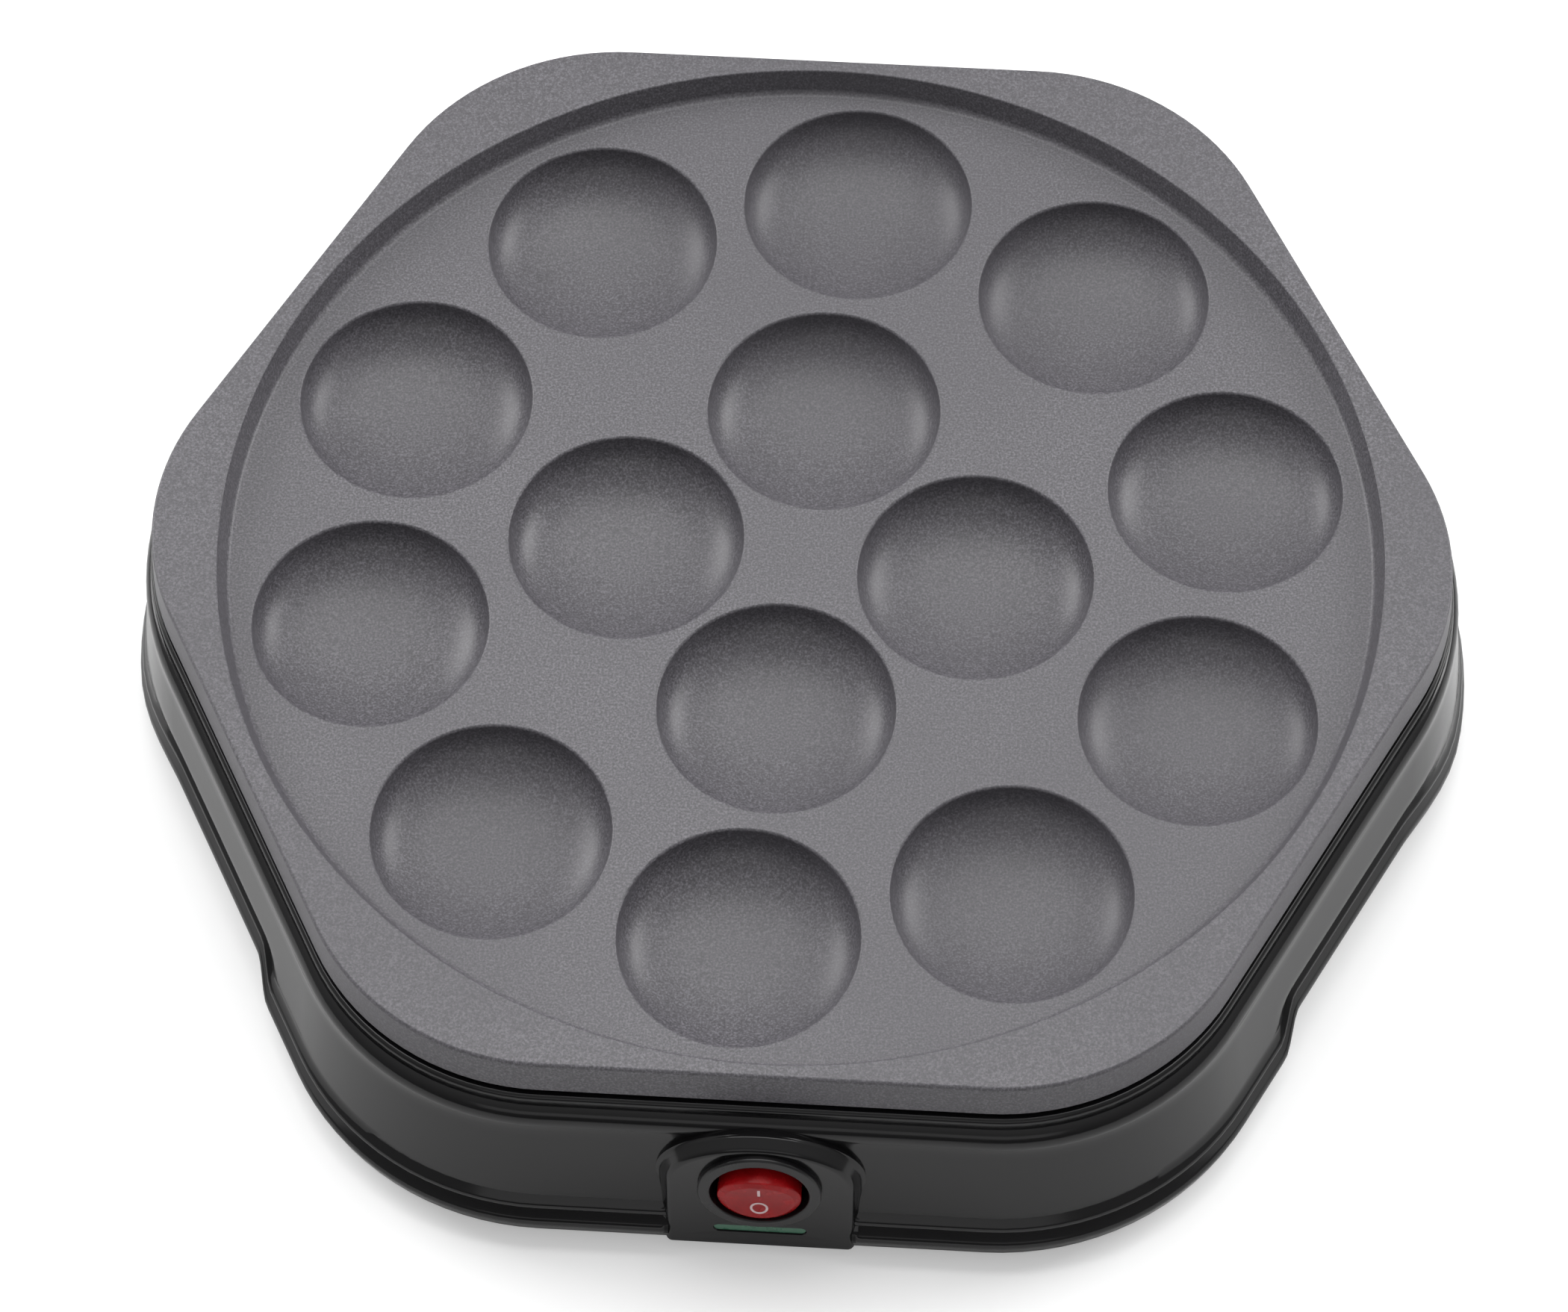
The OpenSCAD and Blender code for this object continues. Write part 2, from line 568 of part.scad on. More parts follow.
module element_beads() {
    color([0.9, 0.88, 0.82]) for (s = [-1, 1]) end_frame(s) translate([0, tube_bend, pin_z - bead_h])
        difference() {
            cylinder(d = tube_d, h = bead_h, $fn = 32);
            translate([0, 0, -1]) cylinder(d = pin_d + 2 * running, h = bead_h + 2, $fn = 24);
        }
}
pin_foot_z = base_top + 3.5;
module element_pins() {
    color([0.7, 0.7, 0.68]) for (s = [-1, 1]) end_frame(s) translate([0, tube_bend, pin_foot_z])
        cylinder(d = pin_d, h = pin_z - pin_foot_z, $fn = 24);
}
clamp_l = clamp_boss_r - tube_ring + 12;
module element_clamps() {
    color([0.66, 0.67, 0.68]) for (a = CLAMP_TURNS) rotate([0, 0, a]) difference() {
        translate([tube_ring - 7, -5, clamp_z - bracket_t]) cube([clamp_l, 10, bracket_t]);
        translate([clamp_boss_r, 0, clamp_z - 3]) cylinder(d = small_screw_d + fit, h = 5, $fn = 24);
    }
}
window_w = 2 * (tube_ring * sin(tube_gap / 2) + 1);
window_y = tube_ring * cos(tube_gap / 2) - 5;
module heat_shield() {
    color([0.75, 0.76, 0.78]) difference() {
        union() {
            disc(shield_r, shield_z, shield_top);
            difference() {
                disc(shield_r, shield_z, shield_top + shield_edge);
                disc(shield_r - shield_t, shield_top, shield_top + shield_edge + 1);
            }
        }
        translate([-window_w / 2, window_y, shield_z - 1]) cube([window_w, 13, shield_t + 2]);
        disc(stat_cap_d / 2 + 1, shield_z - 1, shield_top + 1);
        for (p = SHIELD_BOSSES) blind_bore(p, screw_d + fit, shield_z, shield_top + 1);
    }
}
stat_low = stat_z - 12;
blade_w = 4.8;
blade_t = 0.8;
stat_blade_x = 3.5;
module thermostat() {
    color([0.2, 0.2, 0.22]) union() {
        translate([0, 0, stat_z - stat_cap_h]) cylinder(d = stat_cap_d, h = stat_cap_h, $fn = 48);
        translate([0, 0, stat_low]) cylinder(d = stat_d, h = stat_z - stat_cap_h - stat_low, $fn = 48);
        for (s = [-1, 1]) translate([s * stat_blade_x - blade_t / 2, -blade_w / 2, stat_low - 5])
            cube([blade_t, blade_w, 6]);
    }
}
module thermostat_bracket() {
    color([0.66, 0.67, 0.68]) rotate([0, 0, stat_turn]) difference() {
        translate([-stat_boss_r - 5, -5, bracket_top - bracket_t]) cube([2 * stat_boss_r + 10, 10, bracket_t]);
        disc((stat_d + fit) / 2, bracket_top - 3, bracket_top + 1);
        for (s = [-1, 1]) translate([s * stat_boss_r, 0, bracket_top - 3])
            cylinder(d = small_screw_d + fit, h = 5, $fn = 24);
    }
    color([0.66, 0.67, 0.68]) rotate([0, 0, stat_turn]) for (s = [-1, 1]) mirror([0, s < 0 ? 1 : 0, 0])
        intersection() {
            translate([-stat_cap_d / 2, 4, bracket_top - bracket_t]) cube([stat_cap_d, 4.5, bracket_t]);
            difference() {
                disc(stat_cap_d / 2 + 1, bracket_top - bracket_t, bracket_top);
                disc((stat_d + fit) / 2, bracket_top - 3, bracket_top + 1);
            }
        }
}
fuse_d = 6;
fuse_l = 26;
FUSE = [-45, -34, shield_z - 4.6];
module thermal_fuse() {
    color([0.93, 0.9, 0.8]) translate(FUSE) rotate([0, 90, 0]) translate([0, 0, -fuse_l / 2]) union() {
        cylinder(d = fuse_d, h = fuse_l, $fn = 32);
        for (z = [-3, fuse_l]) translate([0, 0, z]) cylinder(d = 1.4, h = 3, $fn = 16);
    }
}
module fuse_clip() {
    color([0.66, 0.67, 0.68]) difference() {
        union() {
            translate([FUSE.x - 4, FUSE.y, FUSE.z]) rotate([0, 90, 0]) cylinder(d = fuse_d + 2, h = 8, $fn = 32);
            translate([FUSE.x - 4, FUSE.y - 3, shield_z - 1]) cube([8, 14, 1]);
        }
        translate([FUSE.x - 5, FUSE.y, FUSE.z]) rotate([0, 90, 0])
            cylinder(d = fuse_d + 2 * running, h = 10, $fn = 32);
    }
}

// ---- switch ----
barrel_floor = 2;
cavity_in = barrel_l - barrel_floor;
TERMINALS = [-5.2, 0, 5.2];
terminal_w = 4.8;
module switch_body() {
    color([0.04, 0.04, 0.045]) at_switch() difference() {
        union() {
            rotate_extrude($fn = 64) polygon(concat([[0, 0], [bezel_d / 2, 0]],
                arc2(bezel_d / 2 - 0.6, bezel_t - 0.6, 0.6, 0, 90, 3), [[0, bezel_t]]));
            translate([0, 0, -barrel_l]) cylinder(d = barrel_d, h = barrel_l, $fn = 64);
        }
        translate([0, 0, -cavity_in]) cylinder(d = mouth_d, h = cavity_in + 5, $fn = 64);
        translate([-barrel_d / 2 + 0.1, 0, -pivot_in]) rotate([0, 90, 0])
            cylinder(d = pivot_d + 2 * running, h = barrel_d - 0.2, $fn = 32);
        for (y = TERMINALS) translate([-terminal_w / 2 - running, y - blade_t / 2 - running, -barrel_l - 1])
            cube([terminal_w + 2 * running, blade_t + 2 * running, 4]);
    }
}
scoop_r = 40;
pin_reach = barrel_d / 2 - 0.3;
module rocker_shape() {
    difference() {
        translate([0, 0, pivot_in - 7.2]) rotate_extrude($fn = 64) polygon(concat([[0, 0], [rocker_d / 2 - 0.6, 0],
            [rocker_d / 2, 0.6]], arc2(rocker_d / 2 - 0.7, 7.2 + rocker_out, 0.7, 0, 90, 3), [[0, 7.9 + rocker_out]]));
        translate([-rocker_d, 0, pivot_in + rocker_out + scoop_r]) rotate([0, 90, 0])
            cylinder(r = scoop_r, h = 2 * rocker_d, $fn = 180);
    }
}
module rocker() {
    color([0.72, 0.03, 0.04]) at_switch() translate([0, 0, -pivot_in]) rotate([rocker_tilt, 0, 0]) {
        rocker_shape();
        for (s = [-1, 1]) rotate([0, s * 90, 0]) translate([0, 0, rocker_d / 2 - 1])
            cylinder(d = pivot_d, h = pin_reach - rocker_d / 2 + 1, $fn = 32);
    }
}
bridge_t = 0.5;
terminal_top = -cavity_in + 0.9;
module switch_bridge() {
    color([0.8, 0.6, 0.35]) at_switch() translate([-2, -5.6, terminal_top]) cube([4, 11.2, bridge_t]);
}
module switch_terminals() {
    color([0.8, 0.6, 0.35]) at_switch() for (y = TERMINALS) translate([0, y, 0])
        translate([-terminal_w / 2, -blade_t / 2, -barrel_l - 7]) cube([terminal_w, blade_t, barrel_l + 7 + terminal_top]);
}

// ---- indicator ----
lens_back = panel_t + 1.2;
holder_h = 4.6;
holder_l = 7.5;
lamp_d = 4;
lamp_in = lens_back + 3.4;
lamp_up = 1.6;
module indicator_lens() {
    color([0.1, 0.3, 0.2, 0.9]) at_switch() union() {
        slot(lens_w - fit, lens_h - fit, -panel_t - 0.5, -0.3);
        translate([-lens_flange_w / 2, -lens_drop - lens_h / 2 - lens_flange_low, -lens_back])
            cube([lens_flange_w, lens_h + lens_flange_low + lens_flange_up, lens_back - panel_t]);
    }
}
module at_lamp() {
    at_switch() translate([0, lamp_up - lens_drop, 0]) children();
}
module lamp_holder() {
    color([0.85, 0.83, 0.78]) at_lamp() difference() {
        translate([-9, -holder_h / 2 - 0.4, -lens_back - holder_l]) cube([18, holder_h, holder_l]);
        translate([-10, 0, -lamp_in]) rotate([0, 90, 0]) cylinder(d = lamp_d + 2 * running, h = 20, $fn = 32);
        translate([-7, -1, -lamp_in]) cube([14, 2, lamp_in]);
    }
}
module indicator_lamp() {
    color([0.95, 0.85, 0.7, 0.6]) at_lamp() translate([-6, 0, -lamp_in]) rotate([0, 90, 0]) union() {
        cylinder(d = lamp_d, h = 11, $fn = 32);
        translate([0, 0, 11]) sphere(d = lamp_d, $fn = 32);
    }
}

// ---- wiring ----
BLOCK_WAYS = [-8, 0, 8];
way_d = 3.4;
way_z = base_top + 5;
module terminal_block() {
    color([0.92, 0.92, 0.9]) difference() {
        translate([-block_size.x / 2, block_y - block_size.y / 2, base_top]) cube(block_size);
        for (x = BLOCK_WAYS) {
            translate([x, block_y - block_size.y, way_z]) rotate([-90, 0, 0])
                cylinder(d = way_d, h = 2 * block_size.y, $fn = 24);
            translate([x, block_y, way_z + 1]) cylinder(d = small_screw_d * 1.75 + 2 * running, h = 20, $fn = 24);
        }
    }
}
module cable_inlet() {
    color([0.03, 0.03, 0.03]) translate([0, inlet_pad_y, inlet_z]) rotate([90, 0, 0])
        rotate_extrude($fn = 48) polygon([[inlet_d / 2, -2], [pad_d / 2 - 2, -2], [pad_d / 2 - 0.5, -1.2],
            [pad_d / 2 - 0.5, 0], [inlet_hole_d / 2 - running, 0], [inlet_hole_d / 2 - running, pad_l],
            [inlet_hole_d / 2 + 0.8, pad_l], [inlet_hole_d / 2 - 0.6, pad_l + 2.5], [inlet_d / 2, pad_l + 2.5]]);
}
module cord_clamp() {
    color([0.05, 0.05, 0.05]) difference() {
        translate([-clamp_post_x - 4, clamp_y - 4, clamp_seat]) cube([2 * clamp_post_x + 8, 8, 3]);
        for (s = [-1, 1]) blind_bore([s * clamp_post_x, clamp_y], small_screw_d + fit, clamp_seat, clamp_seat + 4);
    }
}
tag_t = 0.8;
module earth_tag() {
    color([0.8, 0.68, 0.4]) rotate([0, 0, earth_turn]) difference() {
        union() {
            translate([clamp_boss_r, 0, clamp_z - tag_t]) cylinder(d = 7, h = tag_t, $fn = 32);
            translate([clamp_boss_r - 11, -1.5, clamp_z - tag_t]) cube([9, 3, tag_t]);
        }
        translate([clamp_boss_r, 0, clamp_z - 3]) cylinder(d = small_screw_d + fit, h = 5, $fn = 24);
    }
}
// a wire is a round tube swept along a smooth line through its hand-placed points
function glide(a, b, c, d, t) = 0.5 * ((2 * b) + (c - a) * t + (2 * a - 5 * b + 4 * c - d) * t * t
    + (3 * b - a - 3 * c + d) * t * t * t);
function route(p, step) = let (n = len(p)) concat([for (i = [0:n - 2]) for (k = [0:step - 1])
    glide(p[max(i - 1, 0)], p[i], p[i + 1], p[min(i + 2, n - 1)], k / step)], [p[n - 1]]);
function way(p, i) = let (n = len(p), v = p[min(i + 1, n - 1)] - p[max(i - 1, 0)]) v / norm(v);
WIRE_SIDES = 8;
module wire(points, d, step = 4) {
    p = route(points, step);
    n = len(p);
    pts = [for (i = [0:n - 1]) let (t = way(p, i), u0 = cross(t, abs(t.z) > 0.9 ? [1, 0, 0] : [0, 0, 1]),
        u = u0 / norm(u0), v = cross(t, u)) for (k = [0:WIRE_SIDES - 1])
        p[i] + d / 2 * (u * cos(360 * k / WIRE_SIDES) + v * sin(360 * k / WIRE_SIDES))];
    skin = [for (i = [0:n - 2]) for (k = [0:WIRE_SIDES - 1]) let (j = (k + 1) % WIRE_SIDES)
        each [[i * WIRE_SIDES + k, (i + 1) * WIRE_SIDES + j, i * WIRE_SIDES + j],
            [i * WIRE_SIDES + k, (i + 1) * WIRE_SIDES + k, (i + 1) * WIRE_SIDES + j]]];
    cap0 = [for (k = [0:WIRE_SIDES - 1]) k];
    cap1 = [for (k = [WIRE_SIDES - 1:-1:0]) (n - 1) * WIRE_SIDES + k];
    polyhedron(pts, concat([cap0], [cap1], skin));
}
wire_z = base_top + 4;
function switch_point(x, y, z) = let (a = 90 - panel_lean)
    [x, switch_y + y * cos(a) - z * sin(a), switch_z + y * sin(a) + z * cos(a)];
terminal_end = -barrel_l - 7 - fit;
block_front = block_y - block_size.y / 2 + 3;
pin_front = tube_ring * sin(90 - tube_gap / 2) + tube_bend * sin(tube_gap / 2);
pin_x = tube_ring * sin(tube_gap / 2) - tube_bend * cos(tube_gap / 2);
pin_low = pin_foot_z - fit - wire_d / 2;
module live_wire() {
    color([0.45, 0.25, 0.12]) wire([[-8, block_front, way_z], [-8, 76, way_z], [-8.5, 73, way_z], [-13, 67, 12.5], [-24, 60, 14],
        [-31, 44, 14], [-30, 20, wire_z], [-26, -40, wire_z], [-12, -82, 12],
        switch_point(0, TERMINALS[0], terminal_end - 8), switch_point(0, TERMINALS[0], terminal_end)], wire_d);
}
module stat_wire() {
    color([0.75, 0.75, 0.72]) wire([switch_point(0, TERMINALS[2], terminal_end - 1),
        switch_point(2, TERMINALS[2] - 2, terminal_end - 1.8), switch_point(6, TERMINALS[2] - 6, terminal_end - 1.6),
        [9, -96, 15], [10, -84, 13], [12, -40, wire_z], [9, -12, wire_z],
        [stat_blade_x, -4, wire_z - 1], [stat_blade_x, 0, stat_low - 5 - fit - wire_d / 2]], wire_d);
}
module fuse_wire() {
    color([0.75, 0.75, 0.72]) wire([[-stat_blade_x, 0, stat_low - 5 - fit - wire_d / 2], [-stat_blade_x, -4, wire_z - 1],
        [-9, -16, wire_z + 1], [-18, -30, 13], [FUSE.x + fuse_l / 2 + 7, FUSE.y, FUSE.z],
        [FUSE.x + fuse_l / 2 + 3 + fit, FUSE.y, FUSE.z]], wire_d);
}
module element_wire() {
    color([0.75, 0.75, 0.72]) wire([[FUSE.x - fuse_l / 2 - 3 - fit, FUSE.y, FUSE.z],
        [FUSE.x - fuse_l / 2 - 8, FUSE.y + 1, FUSE.z], [-74, -18, 13], [-66, 20, wire_z], [-44, 44, wire_z - 1],
        [-24, 52, pin_low], [-pin_x, pin_front, pin_low]], wire_d);
}
module neutral_wire() {
    color([0.15, 0.25, 0.6]) wire([[pin_x, pin_front, pin_low], [16, 60, pin_low + 1], [12, 66, wire_z],
        [8, 72, way_z], [8, block_front, way_z]], wire_d);
}
module earth_wire() {
    tag = (clamp_boss_r - 11 - fit - wire_d / 2) * unit(earth_turn);
    color([0.35, 0.6, 0.2]) wire([[tag.x, tag.y, clamp_z - tag_t / 2], [19, 51, 24.4], [16.2, 53, 22.5],
        [16.4, 54.5, 18], [17, 58, 16], [12, 65, 14], [3, 70, way_z + 1], [0, 74, way_z],
        [0, block_front, way_z]], wire_d);
}
module lamp_leads() {
    color([0.75, 0.75, 0.72]) for (s = [-1, 1]) wire([
        switch_point(s < 0 ? -6 - fit : 7.2 + fit, lamp_up - lens_drop, -lamp_in),
        switch_point(s * 11, lamp_up - lens_drop, -lamp_in - 0.5), switch_point(s * 12, -lens_drop + 3.5, -lamp_in - 8),
        switch_point(s * 9, -lens_drop + 5, -lamp_in - 14)], 1.2);
}

cooking_plate();
housing();
base_plate();
rubber_feet();
base_screws();
plate_screws();
heating_element();
element_beads();
element_pins();
element_clamps();
clamp_screws();
heat_shield();
shield_screws();
thermostat();
thermostat_bracket();
thermostat_screws();
thermal_fuse();
fuse_clip();
switch_body();
rocker();
switch_bridge();
switch_terminals();
indicator_lens();
lamp_holder();
indicator_lamp();
terminal_block();
block_screws();
cable_inlet();
cord_clamp();
cord_clamp_screws();
earth_tag();
earth_screw();
live_wire();
stat_wire();
fuse_wire();
element_wire();
neutral_wire();
earth_wire();
lamp_leads();
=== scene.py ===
"""Donut maker: the visible pieces and finishes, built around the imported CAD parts."""

import json
import math

import bmesh
import bpy
from bpy.props import FloatProperty, FloatVectorProperty, PointerProperty
from mathutils import Matrix, Vector


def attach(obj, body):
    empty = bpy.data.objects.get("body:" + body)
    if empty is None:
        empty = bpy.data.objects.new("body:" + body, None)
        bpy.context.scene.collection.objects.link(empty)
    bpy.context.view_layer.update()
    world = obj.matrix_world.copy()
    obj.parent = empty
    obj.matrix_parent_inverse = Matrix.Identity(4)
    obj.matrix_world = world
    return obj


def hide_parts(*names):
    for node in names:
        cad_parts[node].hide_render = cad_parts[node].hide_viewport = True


bl_info = {
    "name": "Donut maker",
    "version": (1, 0, 0),
    "blender": (4, 5, 0),
    "location": "View3D > Sidebar > Maker",
    "description": "Builds the dressed model of a hexagonal donut maker",
    "category": "Object",
}

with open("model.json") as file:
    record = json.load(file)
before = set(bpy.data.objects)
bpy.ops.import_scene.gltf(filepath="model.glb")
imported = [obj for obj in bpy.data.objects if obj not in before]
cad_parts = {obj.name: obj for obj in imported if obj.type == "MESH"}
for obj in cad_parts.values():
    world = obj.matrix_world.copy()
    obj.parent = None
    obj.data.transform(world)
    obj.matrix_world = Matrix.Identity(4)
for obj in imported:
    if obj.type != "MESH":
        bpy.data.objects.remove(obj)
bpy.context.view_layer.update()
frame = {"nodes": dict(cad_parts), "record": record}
MM = 0.001

# outward directions of the six sides of the body, anticlockwise, starting at the right of the back
SIDE_TURN = 28.0
SIDES = [SIDE_TURN, 90.0, 180.0 - SIDE_TURN, 180.0 + SIDE_TURN, 270.0, 360.0 - SIDE_TURN]
# sides with a finger grip, and which way along each the short end of its grip lies
GRIP_SIDES = {0: 1, 2: -1, 3: 1, 5: -1}
# how far the switch panel leans back and the rocker is tilted at rest, in degrees
PANEL_LEAN = 6.5
ROCKER_TILT = 8.0
# the cable's bush at the back: height of its middle and radius of its hole in the wall
CABLE_Z = 20.5 * MM
BUSH_BORE = 5.5 * MM


# ---- sizes and colours ----
def length(name, description, default):
    return FloatProperty(name=name, description=description, default=default * MM,
                         min=0.0, precision=5, subtype="DISTANCE", unit="LENGTH")


def colour(name, description, default):
    return FloatVectorProperty(name=name, description=description, default=default,
                               size=3, min=0.0, max=1.0, subtype="COLOR")


class MakerSizes(bpy.types.PropertyGroup):
    """Sizes of the body, the plate and the switch"""
    total_h: length("Height", "Height of the plate's rim above the table", 48.0)
    plate_deep: length("Depth of the plate", "Plate from front to back across the flats", 223.0)
    plate_side: length("Width across slanted sides", "Plate across the slanted flats", 225.5)
    plate_corner: length("Plate corner", "Radius of the plate's corners seen from above", 47.5)
    plate_skirt: length("Plate edge", "Height of the plate's outer edge", 8.0)
    pan_d: length("Recess", "Diameter of the round recess at the rim", 218.0)
    pan_deep: length("Recess depth", "Depth of the round recess", 5.0)
    pan_run: length("Recess slope", "How far the recess wall runs in on its way down", 1.5)
    cup_d: length("Cup", "Diameter of a cup", 44.0)
    cup_deep: length("Cup depth", "Depth of a cup below the floor of the recess", 10.0)
    cup_lip: length("Cup lip", "Radius of the rounded edge of a cup", 0.6)
    outer_r: length("Outer circle", "Radius of the circle of outer cups", 81.3)
    inner_r: length("Inner circle", "Radius of the circle of inner cups", 33.0)
    flare_front: length("Flare at the front", "How far the foot stands out at front and back", 12.0)
    flare_side: length("Flare at the sides", "How far the foot stands out at the slanted sides", 9.2)
    wall: length("Wall", "Thickness of the housing's wall", 2.6)
    foot_h: length("Feet", "Height of the housing's foot above the table", 4.0)
    lip_z: length("Lip", "Height of the housing's lip above the table", 39.0)
    ledge_r: length("Ledge", "Radius of the opening in the housing's top", 107.0)
    grip_w: length("Grip", "Width of a finger grip", 40.0)
    grip_ramp: length("Grip ramp", "Length of the short ramp of a finger grip", 8.0)
    grip_fade: length("Grip fade", "Length of the long ramp towards the side corner", 30.0)
    grip_rise: length("Grip rise", "How far the foot rises at a finger grip", 6.0)
    grip_in: length("Grip inset", "How far the foot goes in at a finger grip", 2.0)
    panel_w: length("Panel", "Width of the raised switch panel", 37.0)
    panel_top: length("Panel top", "Height of the panel's top above the table", 37.0)
    panel_shoulder: length("Panel shoulder", "Height where the panel's arch begins", 24.0)
    switch_z: length("Switch height", "Height of the switch's middle above the table", 23.0)
    bezel_d: length("Bezel", "Outer diameter of the switch's bezel", 22.4)
    mouth_d: length("Bezel mouth", "Diameter of the opening around the rocker", 17.5)
    barrel_d: length("Barrel", "Diameter of the switch behind the panel", 19.6)
    rocker_d: length("Rocker", "Diameter of the rocker", 15.2)
    rocker_out: length("Rocker height", "How far the middle of the rocker's face stands out of the panel", 2.0)
    pivot_in: length("Pivot depth", "Depth of the rocker's pivot behind the panel", 4.4)
    lens_drop: length("Lens drop", "Distance from the switch down to the indicator", 13.9)
    lens_w: length("Lens length", "Length of the indicator's window", 17.0)
    lens_h: length("Lens height", "Height of the indicator's window", 2.3)


class MakerColours(bpy.types.PropertyGroup):
    """Colours of the finishes that show"""
    coating: colour("Coating", "Non-stick coating of the plate", (0.088, 0.084, 0.094))
    housing: colour("Housing", "Gloss plastic of the housing", (0.004, 0.0038, 0.0042))
    rocker: colour("Rocker", "Clear red plastic of the rocker", (0.34, 0.004, 0.006))
    lens: colour("Lens", "Green plastic of the indicator", (0.055, 0.16, 0.10))
    mark: colour("Marks", "Print of the switch's marks", (0.72, 0.55, 0.56))


# ---- the body's outline ----
def unit(deg):
    a = math.radians(deg)
    return Vector((math.cos(a), math.sin(a)))


def turn_of(i):
    return (SIDES[(i + 1) % 6] - SIDES[i]) % 360.0


def reach(s, i, off):
    """Distance of a side from the middle, for an outline that stands out by off."""
    if i in (1, 4):
        return s.plate_deep / 2 + off
    return s.plate_side / 2 + off * s.flare_side / s.flare_front


def corner_radius(s, i, off):
    opening = 34.0 * MM if i in (2, 5) else 5.4 * MM
    return s.plate_corner + max(off, 0.0) / s.flare_front * opening + min(off, 0.0)


def corner_centre(s, i, off):
    j = (i + 1) % 6
    r = corner_radius(s, i, off)
    a, b = math.radians(SIDES[i]), math.radians(SIDES[j])
    da, db = reach(s, i, off) - r, reach(s, j, off) - r
    k = math.cos(a) * math.sin(b) - math.sin(a) * math.cos(b)
    return Vector(((da * math.sin(b) - db * math.sin(a)) / k, (db * math.cos(a) - da * math.cos(b)) / k))


def take_over(bm, small):
    """Adds a small bmesh to the main one; returns its edges and faces there."""
    mesh = bpy.data.meshes.new("part")
    small.to_mesh(mesh)
    small.free()
    n_edges, n_faces = len(mesh.edges), len(mesh.polygons)
    bm.from_mesh(mesh)
    bpy.data.meshes.remove(mesh)
    bm.edges.ensure_lookup_table()
    bm.faces.ensure_lookup_table()
    return bm.edges[len(bm.edges) - n_edges:], bm.faces[len(bm.faces) - n_faces:]


def outline_ring(bm, s, off, z, side_steps=1, arc_steps=18):
    """One closed outline: every corner is a vertex spun round the corner's centre, the sides join them."""
    small = bmesh.new()
    starts, ends = [], []
    for i in range(6):
        c, r = corner_centre(s, i, off), corner_radius(s, i, off)
        p = c + r * unit(SIDES[i])
        v = small.verts.new((p.x, p.y, z))
        made = bmesh.ops.spin(small, geom=[v], cent=(c.x, c.y, z), axis=(0, 0, 1), dvec=(0, 0, 0),
                              angle=math.radians(turn_of(i)), steps=arc_steps, use_duplicate=False)
        starts.append(v)
        ends.append(made["geom_last"][0])
    sides = [small.edges.new((ends[i], starts[(i + 1) % 6])) for i in range(6)]
    if side_steps > 1:
        bmesh.ops.subdivide_edges(small, edges=sides, cuts=side_steps - 1)
    return take_over(bm, small)[0]


def round_ring(bm, x, y, r, z, steps):
    made = bmesh.ops.create_circle(bm, segments=steps, radius=r, cap_ends=False,
                                   matrix=Matrix.Translation((x, y, z)))
    return list({e for v in made["verts"] for e in v.link_edges})


def join_rings(bm, rings):
    for low, high in zip(rings, rings[1:]):
        bmesh.ops.bridge_loops(bm, edges=low + high)


def fill_between(bm, edges, up):
    """Fills the flat field between one outer ring and the rings inside it."""
    bmesh.ops.triangle_fill(bm, use_beauty=True, use_dissolve=False, edges=edges, normal=(0, 0, 1.0 if up else -1.0))


def arc(cx, cz, r, a0, a1, n):
    """Points of an arc in a profile, as (outward, up)."""
    return [(cx + r * math.cos(math.radians(a0 + (a1 - a0) * k / n)),
             cz + r * math.sin(math.radians(a0 + (a1 - a0) * k / n))) for k in range(n + 1)]


def turned(bm, profile, steps, places=((0.0, 0.0),)):
    """A profile of (radius, height) turned once round an upright axis, at each place; returns its new faces."""
    small = bmesh.new()
    closed = profile[0] == profile[-1]
    verts = [small.verts.new((max(x, 0.0), 0.0, z)) for x, z in (profile[:-1] if closed else profile)]
    edges = [small.edges.new(pair) for pair in zip(verts, verts[1:] + (verts[:1] if closed else []))]
    bmesh.ops.spin(small, geom=verts + edges, cent=(0, 0, 0), axis=(0, 0, 1), dvec=(0, 0, 0),
                   angle=math.tau, steps=steps, use_merge=True, use_duplicate=False)
    poles = [v for v in small.verts if v.co.xy.length < 1e-7]
    if poles:
        bmesh.ops.remove_doubles(small, verts=poles, dist=1e-7)
    faces = []
    for x, y in places:
        one = small.copy()
        bmesh.ops.translate(one, verts=one.verts, vec=(x, y, 0))
        take_over(bm, one)
        faces.append(len(small.faces))
    small.free()
    bm.faces.ensure_lookup_table()
    return bm.faces[len(bm.faces) - sum(faces):]


def open_edges(faces, z):
    return list({e for f in faces for e in f.edges
                 if e.is_boundary and all(abs(v.co.z - z) < 1e-6 for v in e.verts)})


def peg(bm, x, y, r, z0, z1, steps=32):
    bmesh.ops.create_cone(bm, cap_ends=True, cap_tris=False, segments=steps, radius1=r, radius2=r,
                          depth=z1 - z0, matrix=Matrix.Translation((x, y, (z0 + z1) / 2)))


# ---- making pieces ----
def piece(name, bm, material, body, sharp=35.0):
    """Turns a finished bmesh into a named piece that rides on a body."""
    bmesh.ops.remove_doubles(bm, verts=bm.verts, dist=2e-7)
    bmesh.ops.recalc_face_normals(bm, faces=bm.faces)
    limit = math.radians(sharp)
    for f in bm.faces:
        f.smooth = True
    for e in bm.edges:
        e.smooth = len(e.link_faces) == 2 and e.calc_face_angle(0.0) < limit
    mesh = bpy.data.meshes.new(name)
    bm.to_mesh(mesh)
    bm.free()
    obj = bpy.data.objects.new(name, mesh)
    bpy.context.scene.collection.objects.link(obj)
    mesh.materials.append(material)
    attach(obj, body)
    return obj


def weigh_normals(obj):
    w = obj.modifiers.new("Weighted normals", "WEIGHTED_NORMAL")
    w.keep_sharp = True
    w.weight = 60


